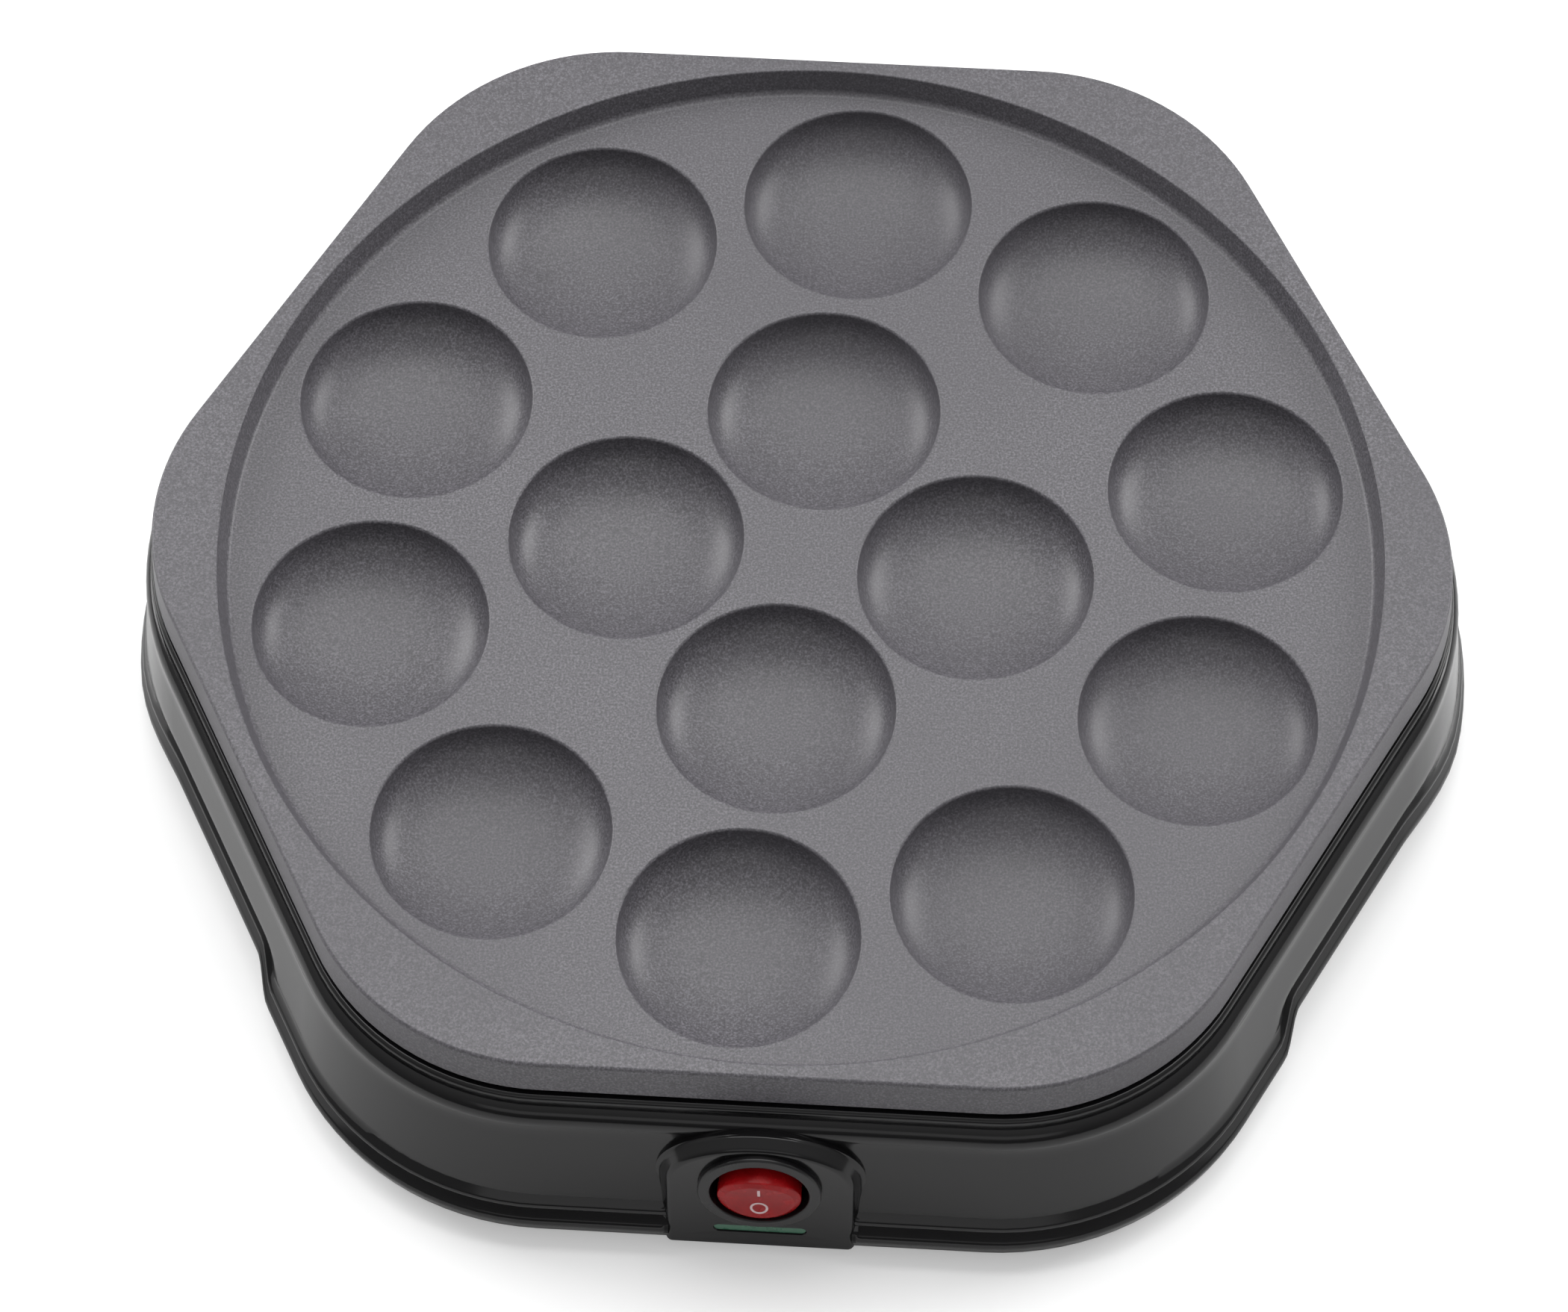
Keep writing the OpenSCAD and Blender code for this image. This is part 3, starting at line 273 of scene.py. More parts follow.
def cut(obj, bm):
    """Takes the solids in bm out of a piece, then drops them."""
    bmesh.ops.recalc_face_normals(bm, faces=bm.faces)
    mesh = bpy.data.meshes.new("cutter")
    bm.to_mesh(mesh)
    bm.free()
    cutter = bpy.data.objects.new("cutter", mesh)
    bpy.context.scene.collection.objects.link(cutter)
    m = obj.modifiers.new("Cut", "BOOLEAN")
    m.operation, m.solver, m.object = "DIFFERENCE", "EXACT", cutter
    m.use_hole_tolerant = True
    deps = bpy.context.evaluated_depsgraph_get()
    made = bpy.data.meshes.new_from_object(obj.evaluated_get(deps))
    old, name = obj.data, obj.data.name
    obj.modifiers.clear()
    obj.data = made
    bpy.data.objects.remove(cutter)
    bpy.data.meshes.remove(mesh)
    bpy.data.meshes.remove(old)
    made.name = name
    if len(made.polygons) < 4:
        raise RuntimeError("a cut left nothing of " + obj.name)


def at_switch(s):
    """The panel's own plane: x to the right, y up along it, z outwards, zero at the switch's middle."""
    lean = math.radians(PANEL_LEAN)
    y = -(s.plate_deep / 2 + s.flare_front) + (s.switch_z - s.foot_h) * math.tan(lean)
    return Matrix.Translation((0, y, s.switch_z)) @ Matrix.Rotation(math.pi / 2 - lean, 4, "X")


# ---- materials ----
class Graph:
    """A small helper around a material's nodes."""

    def __init__(self, name):
        self.mat = bpy.data.materials.new(name)
        self.mat.use_nodes = True
        self.tree = self.mat.node_tree
        self.tree.nodes.clear()
        self.out = self.add("ShaderNodeOutputMaterial")
        self.coords = self.add("ShaderNodeTexCoord").outputs["Object"]

    def add(self, kind, **values):
        node = self.tree.nodes.new(kind)
        for key, value in values.items():
            setattr(node, key, value)
        return node

    def link(self, a, b):
        self.tree.links.new(a, b)

    def shader(self, **values):
        node = self.add("ShaderNodeBsdfPrincipled")
        for key, value in values.items():
            node.inputs[key.replace("_", " ")].default_value = value
        self.link(node.outputs[0], self.out.inputs["Surface"])
        return node

    def noise(self, scale, detail=3.0, rough=0.5, stretch=None):
        node = self.add("ShaderNodeTexNoise")
        node.inputs["Scale"].default_value = scale
        node.inputs["Detail"].default_value = detail
        node.inputs["Roughness"].default_value = rough
        source = self.coords
        if stretch:
            m = self.add("ShaderNodeMapping")
            m.inputs["Scale"].default_value = stretch
            self.link(source, m.inputs["Vector"])
            source = m.outputs[0]
        self.link(source, node.inputs["Vector"])
        return node.outputs["Fac"]

    def cells(self, scale):
        node = self.add("ShaderNodeTexVoronoi")
        node.inputs["Scale"].default_value = scale
        self.link(self.coords, node.inputs["Vector"])
        return node

    def ramp(self, value, stops):
        node = self.add("ShaderNodeValToRGB")
        el = node.color_ramp.elements
        while len(el) < len(stops):
            el.new(0.5)
        for e, (pos, col) in zip(el, stops):
            e.position = pos
            e.color = (*col, 1.0) if hasattr(col, "__len__") else (col, col, col, 1.0)
        self.link(value, node.inputs["Fac"])
        return node.outputs["Color"]

    def span(self, value, low, high, start=0.3, end=0.7):
        node = self.add("ShaderNodeMapRange")
        for key, v in (("From Min", start), ("From Max", end), ("To Min", low), ("To Max", high)):
            node.inputs[key].default_value = v
        self.link(value, node.inputs["Value"])
        return node.outputs["Result"]

    def mix(self, a, b, factor):
        node = self.add("ShaderNodeMix", data_type="RGBA")
        ins = {i.identifier: i for i in node.inputs}
        for key, value in (("Factor_Float", factor), ("A_Color", a), ("B_Color", b)):
            if hasattr(value, "is_output"):
                self.link(value, ins[key])
            elif key == "Factor_Float":
                ins[key].default_value = value
            else:
                ins[key].default_value = (*value, 1.0)
        return next(o for o in node.outputs if o.identifier == "Result_Color")

    def add_up(self, a, b, share=1.0):
        node = self.add("ShaderNodeMath", operation="MULTIPLY_ADD")
        self.link(b, node.inputs[0])
        node.inputs[1].default_value = share
        self.link(a, node.inputs[2])
        return node.outputs[0]

    def bump(self, shader, height, depth, strength=1.0, after=None):
        node = self.add("ShaderNodeBump")
        node.inputs["Strength"].default_value = strength
        node.inputs["Distance"].default_value = depth
        self.link(height, node.inputs["Height"])
        if after:
            self.link(after, node.inputs["Normal"])
        self.link(node.outputs[0], shader.inputs["Normal"])
        return node.outputs[0]


def tint(col, k):
    return tuple(min(1.0, c * k) for c in col)


def coating(c):
    """Grey non-stick coating: fine metallic flecks in a matt film, their glints painted into the colour as lighter
    dots (painted highlight), with a faint cloud.
    """
    g = Graph("plate_coating")
    p = g.shader(Roughness=0.42, IOR=1.5)
    base = c.coating
    grain = g.noise(2300, 2.0, 0.6)
    cloud = g.noise(14, 4.0, 0.55)
    col = g.ramp(grain, [(0.34, tint(base, 0.55)), (0.52, tint(base, 1.0)), (0.68, tint(base, 1.75))])
    # painted highlight: lighter dots in the colour stand in for the glints of the metallic flecks
    flecks = g.cells(1500)
    glint = g.ramp(flecks.outputs["Distance"], [(0.0, 1.0), (0.16, 0.0)])
    col = g.mix(col, tint(base, 2.0), g.span(glint, 0.0, 0.45, 0.0, 1.0))
    col = g.mix(col, tint(base, 0.86), g.span(cloud, 0.0, 0.5, 0.35, 0.7))
    g.link(col, p.inputs["Base Color"])
    g.link(g.span(g.add_up(grain, cloud, 0.8), 0.36, 0.50, 0.6, 1.2), p.inputs["Roughness"])
    fine = g.bump(p, grain, 0.00002, 0.5)
    g.bump(p, g.noise(60, 2.0), 0.00005, 0.25, fine)
    return g.mat


def gloss_plastic(name, col, rough=(0.10, 0.2), ripple=0.00003, grain=0.0):
    """Smooth moulded plastic with a faint ripple, dust-fine haze and polish marks."""
    g = Graph(name)
    p = g.shader(IOR=1.42)
    haze = g.noise(22, 5.0, 0.6)
    fine = g.noise(900, 3.0, 0.6)
    g.link(g.mix(tint(col, 0.85), tint(col, 1.25), g.span(haze, 0.0, 1.0)), p.inputs["Base Color"])
    g.link(g.span(g.add_up(haze, fine, 0.35), rough[0], rough[1], 0.45, 0.9), p.inputs["Roughness"])
    first = g.bump(p, g.noise(38, 1.0), ripple, 0.6)
    g.bump(p, fine, 0.000004 + grain, 0.5, first)
    return g.mat


def moulded(name, col, rough=0.5, scale=1400, depth=0.00003):
    """Plastic with a spark-eroded grain."""
    g = Graph(name)
    p = g.shader(IOR=1.5)
    grain = g.noise(scale, 3.0, 0.6)
    cloud = g.noise(30, 3.0)
    g.link(g.mix(tint(col, 0.8), tint(col, 1.3), g.span(grain, 0.0, 1.0)), p.inputs["Base Color"])
    g.link(g.span(cloud, rough - 0.07, rough + 0.09), p.inputs["Roughness"])
    g.bump(p, grain, depth, 0.7)
    return g.mat


def rubber(name, col):
    g = Graph(name)
    p = g.shader(IOR=1.45, Specular_IOR_Level=0.35)
    pores = g.cells(900)
    cloud = g.noise(60, 4.0)
    g.link(g.mix(tint(col, 0.75), tint(col, 1.5), g.span(cloud, 0.0, 1.0)), p.inputs["Base Color"])
    g.link(g.span(cloud, 0.62, 0.82), p.inputs["Roughness"])
    g.bump(p, pores.outputs["Distance"], 0.00003, 0.6)
    return g.mat


def metal(name, col, rough=0.3, stretch=(1, 1, 14), scale=500, stain=None):
    """Bare metal with drawn marks along one way and a faint stain."""
    g = Graph(name)
    p = g.shader(Metallic=1.0)
    marks = g.noise(scale, 3.0, 0.6, stretch)
    cloud = g.noise(70, 4.0, 0.6)
    base = g.mix(tint(col, 0.82), tint(col, 1.1), g.span(marks, 0.0, 1.0))
    if stain:
        base = g.mix(base, stain, g.span(cloud, 0.0, 0.55, 0.45, 0.7))
    g.link(base, p.inputs["Base Color"])
    g.link(g.span(g.add_up(marks, cloud, 0.6), rough - 0.1, rough + 0.14, 0.5, 1.1), p.inputs["Roughness"])
    g.bump(p, marks, 0.000012, 0.5)
    return g.mat


def ceramic(name, col):
    g = Graph(name)
    p = g.shader(IOR=1.55, Subsurface_Weight=0.08, Subsurface_Scale=0.001)
    grain = g.noise(1600, 4.0, 0.7)
    specks = g.ramp(g.cells(700).outputs["Distance"], [(0.0, 1.0), (0.10, 0.0)])
    base = g.mix(tint(col, 0.9), col, g.span(grain, 0.0, 1.0))
    g.link(g.mix(base, tint(col, 0.55), g.span(specks, 0.0, 0.5, 0.0, 1.0)), p.inputs["Base Color"])
    g.link(g.span(grain, 0.42, 0.62), p.inputs["Roughness"])
    g.bump(p, grain, 0.00002, 0.6)
    return g.mat


def woven_sleeve(name, col):
    """Woven fibre sleeve: two crossed waves."""
    g = Graph(name)
    p = g.shader(IOR=1.45)
    waves = []
    for turn in (0.7, -0.7):
        m = g.add("ShaderNodeMapping")
        m.inputs["Rotation"].default_value = (0, 0, turn)
        g.link(g.coords, m.inputs["Vector"])
        w = g.add("ShaderNodeTexWave")
        w.inputs["Scale"].default_value = 420
        w.inputs["Distortion"].default_value = 0.4
        g.link(m.outputs[0], w.inputs["Vector"])
        waves.append(w.outputs["Fac"])
    weave = g.add_up(waves[0], waves[1], 1.0)
    g.link(g.mix(tint(col, 0.62), col, g.span(weave, 0.0, 1.0, 0.4, 1.6)), p.inputs["Base Color"])
    g.link(g.span(g.noise(300), 0.6, 0.8), p.inputs["Roughness"])
    g.bump(p, weave, 0.00006, 0.7)
    return g.mat


def insulation(name, col, second=None):
    """Soft wire insulation, with a second colour in stripes where the core has one."""
    g = Graph(name)
    p = g.shader(IOR=1.5)
    cloud = g.noise(260, 3.0)
    base = g.mix(tint(col, 0.8), tint(col, 1.15), g.span(cloud, 0.0, 1.0))
    if second:
        w = g.add("ShaderNodeTexWave", bands_direction="DIAGONAL")
        w.inputs["Scale"].default_value = 60
        w.inputs["Distortion"].default_value = 0.0
        g.link(g.coords, w.inputs["Vector"])
        base = g.mix(base, second, g.ramp(w.outputs["Fac"], [(0.60, 0.0), (0.64, 1.0)]))
    g.link(base, p.inputs["Base Color"])
    g.link(g.span(cloud, 0.32, 0.46), p.inputs["Roughness"])
    g.bump(p, g.noise(1200), 0.00001, 0.5)
    return g.mat


def clear_plastic(name, col, through=0.35, prism_glint_level=0.0, rough=(0.12, 0.24), shine=0.5):
    """Tinted see-through plastic; its dots level paints lighter dots of a fine prism grid into the colour, a painted
    highlight for where the prisms catch light.
    """
    g = Graph(name)
    p = g.shader(IOR=1.49, Transmission_Weight=through, Specular_IOR_Level=shine)
    cloud = g.noise(320, 3.0)
    base = g.mix(tint(col, 0.82), tint(col, 1.15), g.span(cloud, 0.0, 1.0))
    fine = g.noise(1500, 2.0)
    if prism_glint_level:
        # painted highlight: lighter dots on a fine grid stand in for the glints of a prism grid
        grid = g.cells(1900)
        prism_glint_mask = g.ramp(grid.outputs["Distance"], [(0.0, 1.0), (0.45, 0.0)])
        base = g.mix(base, tint(col, 1.9), g.span(prism_glint_mask, 0.0, prism_glint_level, 0.0, 1.0))
    g.link(base, p.inputs["Base Color"])
    g.link(g.span(cloud, rough[0], rough[1]), p.inputs["Roughness"])
    g.bump(p, fine, 0.000006, 0.4)
    return g.mat


def printed(name, col):
    """Thin printed mark with a slightly worn edge."""
    g = Graph(name)
    p = g.shader(IOR=1.5)
    wear = g.noise(2600, 4.0, 0.7)
    g.link(g.mix(tint(col, 0.82), col, g.span(wear, 0.0, 1.0)), p.inputs["Base Color"])
    g.link(g.span(wear, 0.38, 0.55), p.inputs["Roughness"])
    g.bump(p, wear, 0.000004, 0.5)
    return g.mat


def finishes(c):
    """Every material slot's finish by name."""
    steel = (0.56, 0.55, 0.53)
    return {
        "plate_coating": coating(c),
        "black_housing": gloss_plastic("black_housing", c.housing),
        "base_plastic": moulded("base_plastic", (0.022, 0.022, 0.024), 0.55),
        "foot_rubber": rubber("foot_rubber", (0.018, 0.018, 0.019)),
        "screw_steel": metal("screw_steel", steel, 0.28, (1, 1, 1), 700),
        "element_steel": metal("element_steel", (0.36, 0.33, 0.31), 0.42, (1, 1, 1), 400, (0.16, 0.12, 0.10)),
        "bead_ceramic": ceramic("bead_ceramic", (0.80, 0.77, 0.70)),
        "strip_steel": metal("strip_steel", (0.58, 0.58, 0.57), 0.34, (1, 12, 1)),
        "shield_aluminium": metal("shield_aluminium", (0.78, 0.78, 0.79), 0.30, (1, 16, 1), 420),
        "bakelite": moulded("bakelite", (0.030, 0.024, 0.021), 0.40, 1900, 0.000015),
        "fuse_sleeve": woven_sleeve("fuse_sleeve", (0.80, 0.77, 0.68)),
        "switch_black": gloss_plastic("switch_black", (0.006, 0.0056, 0.0062), (0.24, 0.34), 0.00001, 0.000004),
        "rocker_red": clear_plastic("rocker_red", c.rocker, 0.15, 0.2, (0.2, 0.3), 0.12),
        "contact_brass": metal("contact_brass", (0.72, 0.52, 0.25), 0.28, (14, 1, 1), 500, (0.42, 0.28, 0.14)),
        "lens_green": clear_plastic("lens_green", c.lens, 0.08, 0.1, (0.22, 0.34)),
        "lamp_glass": clear_plastic("lamp_glass", (0.90, 0.86, 0.80), 0.85, 0.0, (0.03, 0.08)),
        "holder_plastic": moulded("holder_plastic", (0.62, 0.60, 0.54), 0.48),
        "brown_wire": insulation("brown_wire", (0.16, 0.065, 0.032)),
        "blue_wire": insulation("blue_wire", (0.035, 0.13, 0.42)),
        "white_wire": insulation("white_wire", (0.74, 0.73, 0.70)),
        "earth_wire": insulation("earth_wire", (0.10, 0.36, 0.07), (0.75, 0.62, 0.06)),
        "inlet_rubber": rubber("inlet_rubber", (0.020, 0.020, 0.021)),
    }


def finish_of(name):
    mat = bpy.data.materials.get(name)
    if mat is None:
        raise RuntimeError("no finish called " + name)
    return mat


# ---- operators ----
class MAKER_OT_finishes(bpy.types.Operator):
    """Make the finishes and give each CAD part its own"""
    bl_idname = "maker.finishes"
    bl_label = "Finishes"

    def execute(self, context):
        for m in list(bpy.data.materials):
            m.name = "cad_" + m.name
        made = finishes(context.scene.maker_colours)
        rows = {p["node"]: p["material_slot"] for p in frame["record"]["subparts"]}
        for name, obj in frame["nodes"].items():
            mat = made[rows[name]]
            if not obj.material_slots:
                raise RuntimeError("CAD part without a material: " + name)
            for s in obj.material_slots:
                s.material = mat
        return {"FINISHED"}


def cup_places(s):
    outer = [s.outer_r * unit(13.6 + 36.0 * k) for k in range(10)]
    inner = [s.inner_r * unit(-4.3 + 90.0 * k) for k in range(4)]
    return outer + inner


class MAKER_OT_plate(bpy.types.Operator):
    """Build the coated cooking plate with its recess and fourteen cups"""
    bl_idname = "maker.plate"
    bl_label = "Cooking plate"

    def execute(self, context):
        s = context.scene.maker_sizes
        bm = bmesh.new()
        top, low = s.total_h, s.total_h - s.plate_skirt
        floor = top - s.pan_deep
        edge = 0.8 * MM
        # outer edge from the foot of the skirt up and over the rim
        path = arc(0.60 * MM, low + 0.40 * MM, 0.40 * MM, -90, 0, 4)
        path += arc(0.10 * MM - edge, top - edge, edge, 4, 90, 8)
        rings = [outline_ring(bm, s, off, z) for off, z in path]
        join_rings(bm, rings)
        # round recess: rim, slope and foot fillet
        r_in = s.pan_d / 2
        wall = arc(r_in - s.pan_run - 1.5 * MM, floor + 1.5 * MM, 1.5 * MM, -90, -20, 8)
        wall += arc(r_in + 0.12 * MM, top - 0.4 * MM, 0.4 * MM, 160, 90, 5)
        faces = turned(bm, wall, 192)
        fill_between(bm, rings[-1] + open_edges(faces, top), True)
        fields = open_edges(faces, floor)
        # cups
        lip, r, d = s.cup_lip, s.cup_d / 2, s.cup_deep
        cup = arc(r + lip, floor - lip, lip, 90, 180, 6)
        cup += [(r * math.cos(a) ** 0.8, floor - d * math.sin(a) ** 0.8)
                for a in (math.radians(4 + 86 * k / 22) for k in range(22))]
        cup.append((0.0, floor - d))
        shell = [(0.0, floor - d - 2.5 * MM), (r * 0.6, floor - d - 2.5 * MM), (r - 2.2 * MM, floor - d * 0.86),
                 (r + 0.9 * MM, floor - d * 0.5), (r + 1.2 * MM, low)]
        under = []
        fields += open_edges(turned(bm, cup, 96, cup_places(s)), floor)
        under += open_edges(turned(bm, shell, 48, cup_places(s)), low)
        fill_between(bm, fields, True)
        fill_between(bm, rings[0] + under, False)
        # bosses below for the screws
        for i in range(6):
            c = corner_centre(s, i, 0.0)
            p = c.normalized() * (r_in + 5.5 * MM)
            peg(bm, p.x, p.y, 4 * MM, s.lip_z + 0.02 * MM, low + 0.5 * MM)
        obj = piece("cooking_plate_coated", bm, finish_of("plate_coating"), "maker")
        weigh_normals(obj)
        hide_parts("cooking_plate")
        return {"FINISHED"}


def smooth(u):
    c = min(max(u, 0.0), 1.0)
    return c * c * (3 - 2 * c)


def lift_grips(bm, s):
    """Moves the foot of the wall up and in over the four finger grips."""
    for v in bm.verts:
        share = smooth((s.foot_h + 18 * MM - v.co.z) / (11 * MM))
        if share <= 0.0:
            continue
        p = v.co.xy
        g = 0.0
        for i, way in GRIP_SIDES.items():
            u = unit(SIDES[i])
            if p.dot(u) > s.plate_side / 2 * 0.9:
                a = way * p.dot(Vector((-u.y, u.x)))
                g = max(g, min(smooth((s.grip_w / 2 + s.grip_ramp - a) / s.grip_ramp),
                               smooth((s.grip_w / 2 + s.grip_fade + a) / s.grip_fade)))
        g *= share
        if g > 0.0:
            q = p - p.normalized() * s.grip_in * g
            v.co = (q.x, q.y, v.co.z + s.grip_rise * g)


class MAKER_OT_housing(bpy.types.Operator):
    """Build the gloss black housing with its shoulder, beads and finger grips"""
    bl_idname = "maker.housing"
    bl_label = "Housing"

    def execute(self, context):
        s = context.scene.maker_sizes
        bm = bmesh.new()
        lip_z, foot = s.lip_z, s.foot_h
        flare = s.flare_front
        outer = arc(1.2 * MM, lip_z - 1.0 * MM, 1.0 * MM, 90, 6, 6)
        outer += [(2.1 * MM + 0.14 * MM, lip_z - 1.75 * MM)]
        outer += arc(1.6 * MM, lip_z - 5.4 * MM, 3.2 * MM, 76, -12, 12)
        top_off, top_z = 4.9 * MM, lip_z - 7.5 * MM
        bead_z, bead_off = foot + 7.4 * MM, flare - 2.7 * MM
        low_off, low_z = bead_off - 0.5 * MM, bead_z + 2 * MM
        outer += [(top_off + (low_off - top_off) * k / 12, top_z + (low_z - top_z) * k / 12) for k in range(13)]
        outer += arc(bead_off, bead_z, 1.2 * MM, 62, -58, 9)
        outer += arc(flare - 1.8 * MM, foot + 3.4 * MM, 1.8 * MM, 58, -35, 9)
        outer += [(flare - 0.9 * MM, foot)]
        w = s.wall
        inner = [(flare - w, foot), (bead_off - w + 0.6 * MM, bead_z + 2 * MM), (top_off - w, top_z),
                 (1.2 * MM - w, lip_z - 3 * MM)]
        rings = [outline_ring(bm, s, off, z, 40, 16) for off, z in outer + inner]
        join_rings(bm, rings)
        hole_top = round_ring(bm, 0, 0, s.ledge_r, lip_z, 128)
        hole_low = round_ring(bm, 0, 0, s.ledge_r, lip_z - 3 * MM, 128)
        join_rings(bm, [hole_low, hole_top])
        fill_between(bm, rings[0] + hole_top, True)
        fill_between(bm, rings[-1] + hole_low, False)
        lift_grips(bm, s)
        # posts for the base screws
        for a in (72, 108, 188, 252, 288, 352):
            p = (s.ledge_r - 3 * MM) * unit(a)
            peg(bm, p.x, p.y, 4 * MM, foot + 2.55 * MM, 25 * MM)
        obj = piece("housing_shell", bm, finish_of("black_housing"), "maker")
        # room for the switch and its lamp in front, and for the cable's bush behind
        tool = bmesh.new()
        barrel = s.barrel_d / 2 + 0.3 * MM
        bmesh.ops.create_cone(tool, cap_ends=True, segments=64, radius1=barrel, radius2=barrel, depth=40 * MM)
        bmesh.ops.transform(tool, verts=tool.verts, matrix=at_switch(s))
        cut(obj, tool)
        tool = bmesh.new()
        lamp_room = Matrix.Translation((0, -s.lens_drop + 1 * MM, -8 * MM))
        lamp_room @= Matrix.Diagonal((24 * MM, 8.4 * MM, 18 * MM, 1))
        bmesh.ops.create_cube(tool, size=1.0, matrix=at_switch(s) @ lamp_room)
        cut(obj, tool)
        tool = bmesh.new()
        tombstone(tool, s, [(-1.8 * MM, 4 * MM), (-1.8 * MM, -1.3 * MM)])
        bmesh.ops.transform(tool, verts=tool.verts, matrix=at_switch(s))
        cut(obj, tool)
        tool = bmesh.new()
        bmesh.ops.create_cone(tool, cap_ends=True, segments=48, radius1=BUSH_BORE, radius2=BUSH_BORE, depth=30 * MM,
                              matrix=Matrix.Translation((0, 118 * MM, CABLE_Z)) @ Matrix.Rotation(math.pi / 2, 4, "X"))
        cut(obj, tool)
        for p in obj.data.polygons:
            p.use_smooth = True
        weigh_normals(obj)
        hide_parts("housing")
        # flat pad around the bush
        bm = bmesh.new()
        turned(bm, [(BUSH_BORE, 0.0), (8 * MM, 0.0)] + arc(7.2 * MM, 7.2 * MM, 0.8 * MM, 0, 90, 5)
               + [(BUSH_BORE + 0.4 * MM, 8 * MM), (BUSH_BORE, 7.6 * MM), (BUSH_BORE, 0.0)], 64)
        at_back = Matrix.Translation((0, s.plate_deep / 2 + flare - 10 * MM, CABLE_Z))
        bmesh.ops.transform(bm, verts=bm.verts, matrix=at_back @ Matrix.Rotation(-math.pi / 2, 4, "X"))
        pad = piece("inlet_pad", bm, finish_of("black_housing"), "maker")
        weigh_normals(pad)
        return {"FINISHED"}


def tombstone(bm, s, steps):
    """The panel's outline, an arch on straight sides, as rings in the panel's own plane: steps of (grow, z)."""
    mid = s.panel_shoulder - s.switch_z
    low = s.foot_h - s.switch_z - 3 * MM
    rings = []
    for grow, z in steps:
        small = bmesh.new()
        half, high = s.panel_w / 2 + grow, s.panel_top - s.switch_z + min(grow, -0.6 * MM)
        v = small.verts.new((half, 0, z))
        made = bmesh.ops.spin(small, geom=[v], cent=(0, 0, z), axis=(0, 0, 1), dvec=(0, 0, 0), angle=math.pi,
                              steps=48, use_duplicate=False)
        bmesh.ops.scale(small, vec=(1, (high - mid) / half, 1), verts=small.verts)
        bmesh.ops.translate(small, vec=(0, mid, 0), verts=small.verts)
        a, b = small.verts.new((-half, low, z)), small.verts.new((half, low, z))
        sides = [small.edges.new(pair) for pair in ((made["geom_last"][0], a), (a, b), (b, v))]
        bmesh.ops.subdivide_edges(small, edges=[sides[0], sides[2]], cuts=8)
        rings.append(take_over(bm, small)[0])
    join_rings(bm, rings)
    for ring in (rings[0], rings[-1]):
        bmesh.ops.contextual_create(bm, geom=ring)


class MAKER_OT_panel(bpy.types.Operator):
    """Build the raised switch panel with its rounded edge"""
    bl_idname = "maker.panel"
    bl_label = "Switch panel"

    def execute(self, context):
        s = context.scene.maker_sizes
        bm = bmesh.new()
        # rounded front edge, a short drop, then a softly hollowed foot that runs out along the wall
        edge = [(x - 2.6 * MM, z) for x, z in arc(0.0, -1.3 * MM, 1.3 * MM, 90, 20, 8)]
        edge += [(x + 0.6 * MM, z) for x, z in arc(0.0, -1.5 * MM, 1.5 * MM, 200, 262, 7)]
        tombstone(bm, s, edge + [(edge[-1][0], -13 * MM)])
        bmesh.ops.recalc_face_normals(bm, faces=bm.faces)
        bmesh.ops.transform(bm, verts=bm.verts, matrix=at_switch(s))
        cutting = bmesh.ops.bisect_plane(bm, geom=bm.verts[:] + bm.edges[:] + bm.faces[:], plane_co=(0, 0, s.foot_h),
                                         plane_no=(0, 0, -1), clear_outer=True)
        bmesh.ops.holes_fill(bm, edges=[g for g in cutting["geom_cut"] if isinstance(g, bmesh.types.BMEdge)], sides=0)
        obj = piece("switch_panel", bm, finish_of("black_housing"), "maker")
        tool = bmesh.new()
        bmesh.ops.create_cone(tool, cap_ends=True, segments=64, radius1=s.barrel_d / 2 + 0.3 * MM,
                              radius2=s.barrel_d / 2 + 0.3 * MM, depth=40 * MM)
        bmesh.ops.transform(tool, verts=tool.verts, matrix=at_switch(s))
        cut(obj, tool)
        tool = bmesh.new()
        bmesh.ops.create_cube(tool, size=1.0, matrix=Matrix.Diagonal((s.lens_w, s.lens_h, 40 * MM, 1)))
        bmesh.ops.bevel(tool, geom=[e for e in tool.edges if abs(e.verts[0].co.z - e.verts[1].co.z) > 1 * MM],
                        offset=s.lens_h / 2 * 0.98, offset_type="OFFSET", segments=8, profile=0.5, affect="EDGES",
                        material=-1)
        bmesh.ops.transform(tool, verts=tool.verts, matrix=at_switch(s) @ Matrix.Translation((0, -s.lens_drop, 0)))
        cut(obj, tool)
        tool = bmesh.new()
        tombstone(tool, s, [(-2.8 * MM, -2.5 * MM), (-2.8 * MM, -20 * MM)])
        bmesh.ops.transform(tool, verts=tool.verts, matrix=at_switch(s))
        cut(obj, tool)
        for p in obj.data.polygons:
            p.use_smooth = True
        weigh_normals(obj)
        return {"FINISHED"}


